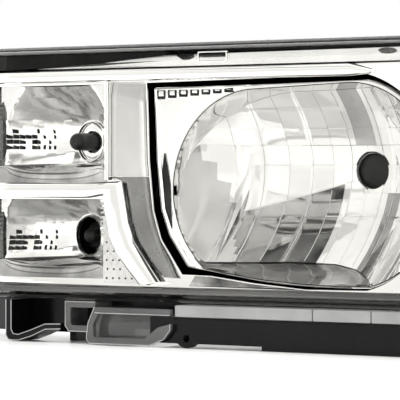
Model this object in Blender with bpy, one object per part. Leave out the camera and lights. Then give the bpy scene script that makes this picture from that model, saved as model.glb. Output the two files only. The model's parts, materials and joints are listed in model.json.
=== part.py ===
"""Car headlight assembly: rear housing, clear lens, chrome trims, reflectors, bulbs, aiming gear and sockets.

Frame: metres, +Z up, light leaves along -Y, +X is the inner (grille) side, -X the outer side whose corner
sweeps back. The origin is at the centre of the bounding box's floor.
"""

import math

import bmesh
import bpy
from mathutils import Matrix, Vector

MM = 0.001

# Overall envelope
HALF_WIDTH = 231 * MM
HEIGHT = 208 * MM
FLANGE_BOTTOM = 29.5 * MM
SWEEP_START_X = -140 * MM
SWEEP_LENGTH = 91 * MM
SWEEP_DEPTH = 52 * MM

# Depth planes, front to rear
TRIM_BACK_Y = -73.3 * MM
BEZEL_FRONT_Y = -73 * MM
BEZEL_BACK_Y = -70.5 * MM
MAIN_TUB_BACK_Y = 64.5 * MM
GAP = 0.3 * MM

# Housing: rounded rectangles (y, x_low, x_high, z_low, z_high, corner radius) in millimetres, front to rear
SHELL_SECTIONS = [
    (-64, -231, 231, 29.5, 208, 10),
    (-58, -231, 231, 29.5, 208, 10),
    (-57.9, -226, 226, 33.5, 204, 10),
    (-36, -222, 225, 35, 203, 10),
    (-5.5, -190, 221, 40, 196, 16),
]
SHELL_HOLLOW_SECTIONS = [
    (-75, -223.5, 223.5, 36, 201.5, 8),
    (-37, -219.5, 222.5, 37.5, 200.5, 8),
    (-8, -187.5, 218.5, 42.5, 193.5, 14),
]
MAIN_TUB_SECTIONS = [
    (-32, -48, 224, 36, 202, 10),
    (20, -44, 220, 40, 196, 18),
    (64.5, -34, 204, 46, 188, 24),
]
MAIN_HOLLOW_SECTIONS = [
    (-33, -45.5, 221.5, 38.5, 199.5, 8),
    (20, -41.5, 217.5, 42.5, 193.5, 15.5),
    (62, -31.5, 201.5, 48.5, 185.5, 21.5),
]

# Lens tray: (y, inset from the skirt) in millimetres
LENS_OUTSIDE = [(-66.6, 0), (-88, 0.8), (-95, 3.5), (-99.5, 9), (-102, 20), (-103, 45)]
LENS_INSIDE = [(-100.3, 45), (-99.3, 20.6), (-97, 11), (-92.8, 6), (-86.6, 3.5), (-66.6, 2.8)]
SKIRT_RADIUS = 9

# Fixings: lugs as (name, (x, z), y_front, y_back, front end of the hole), and the tab under the lens
LUG_RADIUS = 9 * MM
LUG_HOLE_RADIUS = 4.3 * MM
LUG_SLEEVE_RADII = (3.1 * MM, 4 * MM)
LUGS = [
    ("housing_lug_inner_top", (222 * MM, 150 * MM), 34 * MM, 42 * MM, 30 * MM),
    ("housing_lug_inner_bottom", (222 * MM, 72 * MM), 34 * MM, 42 * MM, 30 * MM),
    ("housing_lug_outer", (-206 * MM, 112 * MM), 4 * MM, 22 * MM, 10 * MM),
]
TAB_CENTRE = (18 * MM, 10.2 * MM)
TAB_RADIUS = 10.2 * MM
TAB_HOLE = (18 * MM, 6.4 * MM)
VENTS = [("upper_vent", (-14 * MM, 150 * MM)), ("lower_vent", (150 * MM, 62 * MM))]

# Main reflector
AXIS_X = 89.8 * MM
AXIS_Z = 119.8 * MM
FOCAL_LENGTH = 26 * MM
VERTEX_Y = 35 * MM
BULB_HOLE_RADIUS = 12.5 * MM
REFLECTOR_WALL = 2.2 * MM
REFLECTOR_FRONT_Y = -67 * MM
EAR_FRONT_Y = -65.2 * MM  # set back so that it passes behind the mask when the reflector is turned
SEAT_RADIUS = 22 * MM
SEAT_BACK_Y = 47 * MM
CLIP_Y = SEAT_BACK_Y + 3.6 * MM
CLIP_PIVOT_Z = AXIS_Z - 19 * MM

# Aiming gear: the ball pivot, the vertical screw below it and the horizontal screw beside it
PIVOT = Vector((0, -38 * MM, 170 * MM))
VERTICAL_SCREW_Z = 58 * MM
HORIZONTAL_SCREW_X = 178 * MM
BALL_RADIUS = 5 * MM
ROD_RADIUS = 3 * MM
BOSS_RADIUS = 7.5 * MM
BOSS_BACK_Y = PIVOT.y - BALL_RADIUS - 0.6 * MM
WHEEL_TEETH = 12

# Small reflectors
SMALL_HOLE_Y = -28 * MM
SMALL_HOLE_WIDTH = 22 * MM
SMALL_HOLE_HEIGHT = 26.5 * MM
TURN_CENTRE = (-108.6 * MM, 140.8 * MM)
POSITION_CENTRE = (-110.4 * MM, 73.6 * MM)
TURN_CHAMBER = (-154 * MM, -61 * MM, 122.5 * MM, 180 * MM)
POSITION_CHAMBER = (-154 * MM, -63 * MM, 55 * MM, 100 * MM)

# Rear service opening
SERVICE_RADIUS = 45.5 * MM
COLLAR_RADIUS = 49 * MM
COLLAR_BACK_Y = 76 * MM
CAP_BACK_Y = 100 * MM
CAP_RIB_CIRCLE = 53.6 * MM
CAP_FIRST_RIB = math.radians(35)  # leaves the plug inlet clear over the cap's whole turn

# Main opening of the bezel and outline of the reflector flange, as (x, z) in millimetres from the left
# bottom corner upwards; the inner end of both is an arc about END_CENTRE.
END_CENTRE = (133, 112)
OPENING_ARC = 73
OPENING_POINTS = [(103, 44.5), (39, 48), (2, 49), (-15.5, 73), (-22, 92.5), (-25.7, 127), (-27.5, 180.4)]
FLANGE_ARC = 70
FLANGE_POINTS = [(103, 47), (60, 49.5), (3, 54.5), (-12.6, 75), (-19.6, 93), (-23.3, 127), (-25.2, 177.4)]

SMOOTH_ANGLE = math.radians(32)


def clear_scene():
    """Remove everything so that only the lamp is in the file."""
    for thing in list(bpy.data.objects):
        bpy.data.objects.remove(thing, do_unlink=True)


def make_material(name, color, roughness, metallic=0.0, alpha=1.0):
    """A Principled material with a plain finish."""
    material = bpy.data.materials.new(name)
    material.use_nodes = True
    shader = material.node_tree.nodes["Principled BSDF"]
    shader.inputs["Base Color"].default_value = (*color, 1)
    shader.inputs["Roughness"].default_value = roughness
    shader.inputs["Metallic"].default_value = metallic
    shader.inputs["Alpha"].default_value = alpha
    return material


FINISHES = {
    "black_plastic": ((0.02, 0.02, 0.021), 0.45, 0.0, 1.0),
    "clear_lens": ((0.95, 0.96, 0.96), 0.05, 0.0, 0.25),
    "chrome": ((0.86, 0.87, 0.88), 0.07, 1.0, 1.0),
    "satin_silver": ((0.62, 0.63, 0.64), 0.35, 0.8, 1.0),
    "dark_trim": ((0.09, 0.09, 0.095), 0.3, 0.3, 1.0),
    "grey_plastic": ((0.36, 0.37, 0.38), 0.4, 0.0, 1.0),
    "smoked_clip": ((0.16, 0.16, 0.165), 0.2, 0.0, 1.0),
    "rubber": ((0.03, 0.03, 0.03), 0.8, 0.0, 1.0),
    "steel": ((0.6, 0.6, 0.61), 0.3, 1.0, 1.0),
    "bulb_glass": ((0.8, 0.82, 0.83), 0.03, 0.0, 0.35),
    "coated_glass": ((0.12, 0.12, 0.13), 0.12, 0.7, 1.0),
    "nylon": ((0.8, 0.79, 0.75), 0.5, 0.0, 1.0),
}


def finish(name):
    """The shared material called name, made when first asked for."""
    return bpy.data.materials.get(name) or make_material(name, *FINISHES[name])


def add_object(name, mesh, finish_name, parent=None):
    """Put a mesh in the scene under a name, with its own copy of a finish."""
    thing = bpy.data.objects.new(name, mesh)
    bpy.context.scene.collection.objects.link(thing)
    if finish_name:
        material = finish(finish_name).copy()
        material.name = name + "_" + finish_name
        mesh.materials.append(material)
    mesh.shade_smooth()
    mesh.set_sharp_from_angle(angle=SMOOTH_ANGLE)
    if parent:
        thing.parent = parent
        thing.matrix_parent_inverse = Matrix.Translation(-parent.location)
    return thing


def make_mesh(name, points, faces):
    """A mesh from points and faces with its normals facing out."""
    shape = bmesh.new()
    corners = [shape.verts.new(point) for point in points]
    for face in faces:
        shape.faces.new([corners[index] for index in face])
    bmesh.ops.recalc_face_normals(shape, faces=shape.faces)
    mesh = bpy.data.meshes.new(name)
    shape.to_mesh(mesh)
    shape.free()
    return mesh


def make_empty(name, place):
    """An empty that marks a joint's axis."""
    empty = bpy.data.objects.new(name, None)
    empty.location = place
    empty.empty_display_size = 0.01
    bpy.context.scene.collection.objects.link(empty)
    return empty


def hide_helper(thing):
    """Mark an object as a construction helper."""
    thing.hide_render = True
    thing.display_type = "WIRE"
    return thing


def combine(target, helper, operation):
    """Cut a helper from the target, or join it to the target."""
    hide_helper(helper)
    modifier = target.modifiers.new(operation.lower() + "_" + helper.name, "BOOLEAN")
    modifier.operation = operation
    modifier.object = helper
    modifier.solver = "EXACT"


def sweep(x):
    """How far back the outer corner of the lamp lies at x."""
    share = max(0.0, SWEEP_START_X - x) / SWEEP_LENGTH
    return SWEEP_DEPTH * share * share


def swept(x, y, z):
    """A point moved back with the lamp's outer corner."""
    return (x, y + sweep(x), z)


def arc(centre, radius, start, end, count):
    """Points (x, z) on an arc, angles in degrees."""
    angles = [math.radians(start + (end - start) * i / count) for i in range(count + 1)]
    return [(centre[0] + radius * math.cos(a), centre[1] + radius * math.sin(a)) for a in angles]


def side_stations(left, right):
    """Where a long side is split, from left to right, so that it can follow the sweep."""
    return spread(left, SWEEP_START_X, 6)[1:] + [right - 30 * MM] if left < SWEEP_START_X < right else []


def rounded_box(x_low, x_high, z_low, z_high, radius, corner_steps=3):
    """A rounded rectangle (x, z), anticlockwise; a side that crosses the start of the sweep is split."""
    stations = side_stations(x_low + radius, x_high - radius)
    points = []
    corners = [
        (x_high - radius, z_low + radius, -90),
        (x_high - radius, z_high - radius, 0),
        (x_low + radius, z_high - radius, 90),
        (x_low + radius, z_low + radius, 180),
    ]
    for index, (x, z, start) in enumerate(corners):
        points += arc((x, z), radius, start, start + 90, corner_steps)
        if index == 1:
            points += [(station, z_high) for station in reversed(stations)]
        if index == 3:
            points += [(station, z_low) for station in stations]
    return points


def to_metres(points):
    """Points (x, z) in millimetres as metres."""
    return [(x * MM, z * MM) for x, z in points]


def end_outline(points, radius):
    """The main opening's outline: points of its left side, in millimetres, closed by the round inner end."""
    return to_metres(points[::-1] + arc(END_CENTRE, radius, -76, 76, 14))


def loft(name, rings, finish_name, closed_ends=True, parent=None):
    """Join rings of equally many points into one solid; without closed ends the last ring meets the first."""
    count = len(rings[0])
    points = [point for ring in rings for point in ring]
    faces = []
    last = len(rings) - 1 if closed_ends else len(rings)
    for level in range(last):
        near = level * count
        far = (level + 1) % len(rings) * count
        for i in range(count):
            j = (i + 1) % count
            faces.append((near + i, near + j, far + j, far + i))
    if closed_ends:
        faces.append(tuple(range(count)))
        faces.append(tuple(range((len(rings) - 1) * count, len(rings) * count)))
    return add_object(name, make_mesh(name, points, faces), finish_name, parent)


def rounded_caps(count, corner_points, starts):
    """Flat strips across rounded-rectangle rings, from each point of the upper run to the one below it."""
    faces = []
    for start in starts:
        upper = [start + corner_points + i for i in range(count // 2)]
        lower = [start + (corner_points - 1 - i) % count for i in range(count // 2)]
        for i in range(count // 2 - 1):
            faces.append((upper[i], upper[i + 1], lower[i + 1], lower[i]))
    return faces


def rounded_loft(name, rings, corner_points, finish_name, solid_after=None):
    """A loft through rounded-rectangle rings that follow the sweep; a break after one ring makes a tray."""
    count = len(rings[0])
    points = [point for ring in rings for point in ring]
    breaks = {len(rings) - 1} if solid_after is None else {solid_after}
    faces = []
    for level in range(len(rings)):
        if level in breaks:
            continue
        near, far = level * count, (level + 1) % len(rings) * count
        for i in range(count):
            j = (i + 1) % count
            faces.append((near + i, near + j, far + j, far + i))
    capped = breaks.pop()
    faces += rounded_caps(count, corner_points, (capped * count, (capped + 1) % len(rings) * count))
    return add_object(name, make_mesh(name, points, faces), finish_name)


def prism(name, outline, y_front, y_back, finish_name, parent=None):
    """An outline (x, z) extruded from y_front to y_back."""
    rings = [[(x, y, z) for x, z in outline] for y in (y_front, y_back)]
    return loft(name, rings, finish_name, parent=parent)


def block(name, low, high, finish_name, bevel=0.0, parent=None):
    """A box between two corners, with its edges bevelled on request."""
    (x0, y0, z0), (x1, y1, z1) = low, high
    outline = [(x0, z0), (x1, z0), (x1, z1), (x0, z1)]
    thing = prism(name, outline, y0, y1, finish_name, parent)
    if bevel:
        modifier = thing.modifiers.new("edges", "BEVEL")
        modifier.width = bevel
        modifier.segments = 2
        modifier.limit_method = "ANGLE"
    return thing


def polar(centre, radius, angle, y):
    """The point at a radius and angle about a line along Y."""
    return (centre[0] + radius * math.cos(angle), y, centre[1] + radius * math.sin(angle))


def turned_rings(profile, centre, steps):
    """One ring of points for each (radius, y) of a profile."""
    angles = [2 * math.pi * i / steps for i in range(steps)]
    return [[polar(centre, radius, angle, y) for angle in angles] for radius, y in profile]


def turned(name, profile, centre, finish_name, steps=24, parent=None):
    """A solid turned about the line along Y through centre; profile is (radius, y), closed over the axis."""
    return loft(name, turned_rings(profile, centre, steps), finish_name, parent=parent)


def turned_ring(name, profile, centre, finish_name, steps=24, parent=None):
    """A ring turned about the line along Y through centre from a closed profile of (radius, y)."""
    return loft(name, turned_rings(profile, centre, steps), finish_name, closed_ends=False, parent=parent)


def tube_profile(inner, outer, y_front, y_back):
    """The closed profile of a plain tube."""
    return [(inner, y_front), (outer, y_front), (outer, y_back), (inner, y_back)]


def ball_profile(radius, y, steps=8):
    """The profile of a ball, its poles drawn as tiny flats."""
    angles = [math.radians(4) + (math.pi - math.radians(8)) * i / steps for i in range(steps + 1)]
    return [(radius * math.sin(a), y - radius * math.cos(a)) for a in angles]


def ribbon(name, edge_pairs, y_front, y_back, finish_name, crown=0.0, parent=None):
    """A strip whose two edges run through pairs of (x, z), swept and with a crowned front."""
    rings = []
    for (x0, z0), (x1, z1) in edge_pairs:
        middle = ((x0 + x1) / 2, (z0 + z1) / 2)
        ring = [swept(x0, y_front, z0), swept(middle[0], y_front - crown, middle[1]), swept(x1, y_front, z1)]
        ring += [swept(x1, y_back, z1), swept(x0, y_back, z0)]
        rings.append(ring)
    return loft(name, rings, finish_name, parent=parent)


def sheet(name, xs, zs, front, thickness, finish_name, parent=None):
    """A slab over the grid xs by zs whose front face is y = front(x, z)."""
    rings = []
    for x in xs:
        ring = [(x, front(x, z), z) for z in zs]
        ring += [(x, front(x, z) + thickness, z) for z in reversed(zs)]
        rings.append(ring)
    return loft(name, rings, finish_name, parent=parent)


def spread(low, high, count):
    """count + 1 evenly spaced values."""
    return [low + (high - low) * i / count for i in range(count + 1)]


def reach(outline, centre, angle):
    """Distance from centre to a convex outline in the direction of angle."""
    direction = Vector((math.cos(angle), math.sin(angle)))
    best = 0.0
    for i, (x0, z0) in enumerate(outline):
        x1, z1 = outline[(i + 1) % len(outline)]
        start = Vector((x0 - centre[0], z0 - centre[1]))
        edge = Vector((x1 - x0, z1 - z0))
        turn = direction.x * edge.y - direction.y * edge.x
        if abs(turn) < 1e-12:
            continue
        distance = (start.x * edge.y - start.y * edge.x) / turn
        along = (start.x * direction.y - start.y * direction.x) / turn
        if distance > 0 and -1e-6 <= along <= 1 + 1e-6:
            best = max(best, distance)
    return best


def tub(name, sections):
    """A closed loft through rounded rectangles (y, x_low, x_high, z_low, z_high, radius) in millimetres."""
    rings = []
    for y, x_low, x_high, z_low, z_high, radius in sections:
        outline = rounded_box(x_low * MM, x_high * MM, z_low * MM, z_high * MM, radius * MM)
        rings.append([swept(x, y * MM, z) for x, z in outline])
    return rounded_loft(name, rings, 4, "black_plastic")


# ---------------------------------------------------------------- housing


def make_housing():
    """The black tub that carries everything, open at the front."""
    housing = tub("housing", SHELL_SECTIONS)
    combine(housing, tub("housing_main_tub", MAIN_TUB_SECTIONS), "UNION")
    for name, low, high in lower_structures():
        combine(housing, block(name, low, high, None), "UNION")
    outer_valance = sheet("housing_outer_valance", spread(-214 * MM, -90 * MM, 10), [6 * MM, 36 * MM],
                          lambda x, z: -61.5 * MM + sweep(x), 5 * MM, None)
    combine(housing, outer_valance, "UNION")
    combine(housing, tub("housing_shell_hollow", SHELL_HOLLOW_SECTIONS), "DIFFERENCE")
    combine(housing, tub("housing_main_hollow", MAIN_HOLLOW_SECTIONS), "DIFFERENCE")
    for name, low, high in lower_hollows():
        combine(housing, block(name, low, high, None), "DIFFERENCE")
    add_fixings(housing)
    add_collars(housing)
    cut_housing_holes(housing)
    return housing


def add_fixings(housing):
    """The tab below the lens and the three lugs, the inner two on webs that reach the side wall."""
    tab = turned("housing_hole_tab", [(TAB_RADIUS, -90 * MM), (TAB_RADIUS, -86 * MM)], TAB_CENTRE, None)
    combine(housing, tab, "UNION")
    for name, (x, z), y_front, y_back, _ in LUGS:
        profile = [(LUG_RADIUS, y_front), (LUG_RADIUS, y_back)]
        combine(housing, turned(name, profile, (x, z), None, 16), "UNION")
        if x > 0:
            low = (x - 9.4 * MM, y_front, z - LUG_RADIUS)
            web = block(name + "_web", low, (x, y_back, z + LUG_RADIUS), None)
            combine(housing, web, "UNION")


def add_collars(housing):
    """The round collars of the service opening and of the two bulb holders."""
    profile = [(COLLAR_RADIUS, MAIN_TUB_BACK_Y - 2 * MM), (COLLAR_RADIUS, COLLAR_BACK_Y)]
    combine(housing, turned("housing_cap_collar", profile, (AXIS_X, AXIS_Z), None, 36), "UNION")
    for name, centre in small_sockets():
        collar = turned(name + "_collar", [(17 * MM, -7.5 * MM), (17 * MM, 0)], centre, None)
        combine(housing, collar, "UNION")


def lower_structures():
    """Blocks below the lens: valance, foot and the fins that the lamp stands on."""
    return [
        ("housing_valance", (-12 * MM, -90 * MM, 3 * MM), (214 * MM, -59 * MM, 20.6 * MM)),
        ("housing_valance_web", (-12 * MM, -63.5 * MM, 20 * MM), (214 * MM, -59 * MM, 34 * MM)),
        ("housing_inner_foot", (78 * MM, -88 * MM, 0), (204 * MM, -60 * MM, 5 * MM)),
        ("housing_middle_web", (-92 * MM, -63.5 * MM, 10 * MM), (0, -59.5 * MM, 36 * MM)),
        ("housing_outer_fin", (-104 * MM, -60 * MM, 0), (-98 * MM, 10 * MM, 42 * MM)),
        ("housing_inner_fin", (148 * MM, -63.5 * MM, 0), (154 * MM, 52 * MM, 46 * MM)),
    ]


def small_sockets():
    """Names and centres of the two small bulb holders."""
    return [("turn_socket", TURN_CENTRE), ("position_socket", POSITION_CENTRE)]


def cut_housing_holes(housing):
    """Service opening, socket holes, screw holes, aiming holes and vent holes."""
    rear = (MAIN_TUB_BACK_Y - 9.5 * MM, MAIN_TUB_BACK_Y + 10.5 * MM)
    cuts = [
        ("housing_cut_service", (AXIS_X, AXIS_Z), SERVICE_RADIUS, rear[0], CAP_BACK_Y, 36),
        ("housing_cut_vertical_screw", (PIVOT.x, VERTICAL_SCREW_Z), 5.5 * MM, *rear, 16),
        ("housing_cut_horizontal_screw", (HORIZONTAL_SCREW_X, PIVOT.z), 5.5 * MM, *rear, 16),
        ("housing_cut_tab_hole", TAB_HOLE, 2.6 * MM, -95 * MM, -70 * MM, 16),
    ]
    for name, centre in VENTS:
        cuts.append(("housing_cut_" + name, centre, 4 * MM, *rear, 12))
    for name, centre in small_sockets():
        cuts.append((name + "_cut", centre, 13 * MM, -15 * MM, 6 * MM, 24))
    for name, centre, _, y_back, hole_front in LUGS:
        cuts.append((name + "_cut", centre, LUG_HOLE_RADIUS, hole_front, y_back + 4 * MM, 16))
    for name, centre, radius, y_front, y_back, steps in cuts:
        hole = turned(name, [(radius, y_front), (radius, y_back)], centre, None, steps)
        combine(housing, hole, "DIFFERENCE")


def lower_hollows():
    """The hollow undersides of the blocks below the lens, and the plug inlet's window."""
    return [
        ("housing_cut_valance", (-8 * MM, -87 * MM, -5 * MM), (75 * MM, -72 * MM, 17.6 * MM)),
        ("housing_cut_foot", (82 * MM, -85 * MM, -5 * MM), (145 * MM, -73 * MM, 17.6 * MM)),
        ("housing_cut_connector", (26 * MM, 55 * MM, 163 * MM), (50 * MM, 75 * MM, 177 * MM)),
    ]


def make_lug_sleeves():
    """Metal sleeves set just inside the faces of the screw lugs."""
    for index, (_, centre, y_front, y_back, hole_front) in enumerate(LUGS):
        profile = tube_profile(*LUG_SLEEVE_RADII, max(y_front, hole_front) + GAP, y_back - GAP)
        turned_ring("lug_sleeve_" + str(index + 1), profile, centre, "steel", 16)


def make_vents():
    """Rubber breather elbows on the rear wall."""
    for name, centre in VENTS:
        front = MAIN_TUB_BACK_Y + GAP
        steps = ((3.5, -6), (3.5, 0), (7.5, 0), (7.5, 3), (5.5, 4), (5.5, 13))
        profile = [(radius * MM, front + y * MM) for radius, y in steps]
        vent = turned(name, profile, centre, "rubber", 16)
        spout = block(name + "_spout", (centre[0] - 4 * MM, front + 6 * MM, centre[1] - 16 * MM),
                      (centre[0] + 4 * MM, front + 13 * MM, centre[1]), None)
        combine(vent, spout, "UNION")


def make_main_connector():
    """The lamp's own plug inlet on the rear wall, with its blades."""
    back = MAIN_TUB_BACK_Y
    body = block("main_connector", (22 * MM, back + GAP, 159 * MM), (54 * MM, back + 24 * MM, 181 * MM),
                 "grey_plastic")
    neck = block("main_connector_neck", (26.6 * MM, back - 4 * MM, 163.6 * MM),
                 (49.4 * MM, back + 2 * MM, 176.4 * MM), None)
    combine(body, neck, "UNION")
    mouth_low = (24 * MM, back + 6 * MM, 161 * MM)
    mouth = block("main_connector_mouth", mouth_low, (52 * MM, back + 30 * MM, 179 * MM),
                  None)
    combine(body, mouth, "DIFFERENCE")
    for index in range(4):
        x = (29 + 6 * index) * MM
        block("connector_blade_" + str(index + 1), (x, back + 6.3 * MM, 166 * MM),
              (x + 2 * MM, back + 19 * MM, 174 * MM), "steel")


# ---------------------------------------------------------------- lens and seal


def lens_ring(y_mm, inset_mm):
    """One ring of the lens at a depth and an inset from its skirt."""
    radius = SKIRT_RADIUS - 0.2 * inset_mm if inset_mm < SKIRT_RADIUS else SKIRT_RADIUS
    inset = inset_mm * MM
    outline = rounded_box(-HALF_WIDTH + inset, HALF_WIDTH - inset, FLANGE_BOTTOM + inset,
                          HEIGHT - 0.5 * MM - inset, radius * MM, 4)
    return [swept(x, y_mm * MM, z) for x, z in outline]


def make_lens():
    """The clear front cover, a thin tray whose skirt meets the seal."""
    rings = [lens_ring(y, inset) for y, inset in LENS_OUTSIDE + LENS_INSIDE]
    return rounded_loft("front_lens", rings, 5, "clear_lens", len(LENS_OUTSIDE) - 1)


def make_seal():
    """The sealing bead between the lens skirt and the housing flange."""
    rings = [lens_ring(-66.3, 0.4), lens_ring(-64.3, 0.4), lens_ring(-64.3, 2.6), lens_ring(-66.3, 2.6)]
    return loft("lens_seal", rings, "rubber", closed_ends=False)


# ---------------------------------------------------------------- trims


def sweep_stations(x_low, x_high, fine=8):
    """X values that are close together where the trims sweep back."""
    return spread(x_low, SWEEP_START_X, fine) + [x_high]


def make_bezel():
    """The chrome mask around the three chambers."""
    xs = sweep_stations(-218 * MM, 214 * MM)
    bezel = sheet("bezel", xs, [40 * MM, 190.6 * MM], lambda x, z: BEZEL_FRONT_Y + sweep(x),
                  BEZEL_BACK_Y - BEZEL_FRONT_Y, "chrome")
    main = prism("bezel_cut_main", end_outline(OPENING_POINTS, OPENING_ARC), -0.09, -0.05, None)
    combine(bezel, main, "DIFFERENCE")
    for name, (x_low, x_high, z_low, z_high) in (("turn", TURN_CHAMBER), ("position", POSITION_CHAMBER)):
        outline = rounded_box(-214 * MM, x_high, z_low, z_high, 3 * MM)
        combine(bezel, prism("bezel_cut_" + name, outline, -0.09, 0.02, None), "DIFFERENCE")
    return bezel


def make_blades():
    """Raised chrome strips: the top blade, the divider with its chevron and the panel's bright edge."""
    xs = sweep_stations(-216 * MM, 140 * MM)
    pairs = [((x, 190.4 * MM), (x, 181.9 * MM)) for x in xs]
    pairs += [((158 * MM, 186 * MM), (156 * MM, 183.2 * MM))]
    ribbon("top_blade", pairs, -79 * MM, TRIM_BACK_Y, "chrome", 1.2 * MM)
    xs = sweep_stations(-216 * MM, -75 * MM)
    pairs = [((x, 111.6 * MM), (x, 101 * MM)) for x in xs]
    chevron = [((-44, 112.8), (-59.8, 103)), ((-41, 98), (-57.5, 88)), ((-38.4, 84), (-54.5, 74)),
               ((-33, 70.8), (-48.5, 63)), ((-22.8, 57.8), (-39, 52)), ((-11.4, 44), (-28.5, 41.5))]
    pairs += [to_metres(pair) for pair in chevron]
    ribbon("divider_blade", pairs, -81 * MM, TRIM_BACK_Y, "chrome", 1.5 * MM)
    pairs = [((-58.8 * MM, z * MM), (-55 * MM, z * MM)) for z in (113.6, 150, 181.5)]
    ribbon("panel_edge", pairs, -80 * MM, TRIM_BACK_Y, "chrome", 0.6 * MM)


def make_panels():
    """The satin panel beside the main opening and the dimpled panel inside the chevron."""
    pairs = [((-54.7, 181.5), (-28.2, 181.5)), ((-54.7, 127), (-26.4, 127)), ((-54.7, 114.2), (-25, 114.2)),
             ((-42.6, 113.4), (-24.9, 113)), ((-39.2, 98), (-22.8, 98)), ((-36.8, 84), (-19.8, 84)),
             ((-31.4, 70.8), (-14.6, 70.8)), ((-21.2, 57.8), (-7, 57.8)), ((-10.2, 45), (-1, 49))]
    pairs = [to_metres(pair) for pair in pairs]
    ribbon("centre_panel", pairs, -77 * MM, TRIM_BACK_Y, "satin_silver", 0.8 * MM)
    pairs = [((-62.4, 88), (-58.4, 88)), ((-62.4, 74), (-55.8, 74)), ((-62.4, 63), (-50, 63)),
             ((-62.4, 52), (-40.6, 52)), ((-62.4, 42), (-30, 42))]
    ribbon("dimple_panel", [to_metres(pair) for pair in pairs], -76 * MM, TRIM_BACK_Y, "chrome", 0.6 * MM)


def make_strips():
    """Strips above and below the bezel inside the lens, and the grey strip below the lens."""
    xs = sweep_stations(-216 * MM, -60 * MM)
    pairs = [((x, 201.5 * MM), (x, 191.6 * MM)) for x in xs[:-1]]
    pairs += [((-60 * MM, 201.5 * MM), (-60 * MM, 195 * MM)), ((-9 * MM, 201.5 * MM), (-9 * MM, 199.2 * MM))]
    ribbon("upper_shade", pairs, -75 * MM, -68 * MM, "black_plastic")
    pairs = [((-118 * MM, 191.8 * MM), (-118 * MM, 191.2 * MM)), ((-60 * MM, 194.6 * MM), (-60 * MM, 191.2 * MM)),
             ((-9 * MM, 198.8 * MM), (-9 * MM, 191.2 * MM)), ((206 * MM, 200 * MM), (206 * MM, 191.2 * MM))]
    ribbon("upper_strip", pairs, -78 * MM, -68 * MM, "chrome", 1.5 * MM)
    xs = sweep_stations(-214 * MM, 212 * MM)
    pairs = [((x, 39.6 * MM), (x, 34.5 * MM)) for x in xs]
    ribbon("lower_inner_strip", pairs, -82 * MM, -72.5 * MM, "satin_silver", 0.8 * MM)
    seams = (9, 120, 165, 212)
    for index in range(3):
        low, high = seams[index], seams[index + 1] - 0.6
        front_low = (low * MM, -91 * MM, 20.9 * MM)
        block("lower_strip_" + str(index + 1), front_low, (high * MM, -70.3 * MM, 28.8 * MM),
              "grey_plastic", 0.8 * MM)


def make_outer_trims():
    """Two dark ribbed barrels in the corner that sweeps back."""
    for name, z_low, z_high in (("outer_trim_upper", 122.8, 179.7), ("outer_trim_lower", 55.3, 99.7)):
        middle, half = (z_low + z_high) / 2 * MM, (z_high - z_low) / 2 * MM

        def front(x, z):
            bulge = 1 - ((z - middle) / half) ** 2
            return -68 * MM + sweep(x) - 7 * MM * bulge

        xs = spread(-213.5 * MM, -156.6 * MM, 8)
        zs = spread(z_low * MM, z_high * MM, 6)
        sheet(name, xs, zs, front, 5 * MM, "dark_trim")


def make_lower_brackets():
    """The gusset bracket and the two clips below the lens on the outer half."""
    outline = [(-141, 29), (-141, 4), (-139, 1), (-135, 0), (-130, 0.2), (-118, 4), (-106, 9), (-92.5, 9.6),
               (-92.5, 13), (-106, 12.6), (-119, 8), (-130, 4.6), (-134.5, 5), (-136.4, 8), (-136.4, 29)]
    prism("gusset_bracket", to_metres(outline), -86 * MM, -63.9 * MM, "black_plastic")
    outline = [(-88, 29), (-88, 12), (-85, 8.4), (-66, 8.4), (-66, 12.4), (-82, 12.6), (-83.6, 14.5)]
    outline += [(-83.6, 25), (-62, 25), (-62, 29)]
    prism("outer_clip", to_metres(outline), -86 * MM, -66.6 * MM, "smoked_clip")
    outline = [(-56.5, 26), (-62, 15), (-63.5, 4), (-61, 1), (-10, 1), (2, 5.5), (7.4, 12), (7.4, 16)]
    outline += [(-3, 13.5), (-14, 5.4), (-57.5, 5.4), (-58, 14), (-53, 22), (7.4, 22), (7.4, 26)]
    clip = prism("inner_clip", to_metres(outline), -94 * MM, -90.6 * MM, "smoked_clip")
    shelf_high = (-13 * MM, -66.6 * MM, 25.6 * MM)
    shelf = block("inner_clip_shelf", (-56 * MM, -92 * MM, 22.6 * MM), shelf_high, None)
    combine(clip, shelf, "UNION")


# ---------------------------------------------------------------- reflectors


def main_aperture():
    """Outline of the main bowl at the flange, in metres."""
    left = arc((51.8, 112), 63.8, 90, 238, 16)
    low = [(60, 53), (103, 50.5), (150, 47.5)]
    right = arc((133, 112), 66, -72, 90, 14)
    return to_metres(left + low + right)


def paraboloid(radius, offset=0.0):
    """Depth of the bowl's surface at a radius from the optical axis."""
    return VERTEX_Y + offset - radius * radius / (4 * FOCAL_LENGTH)


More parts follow.
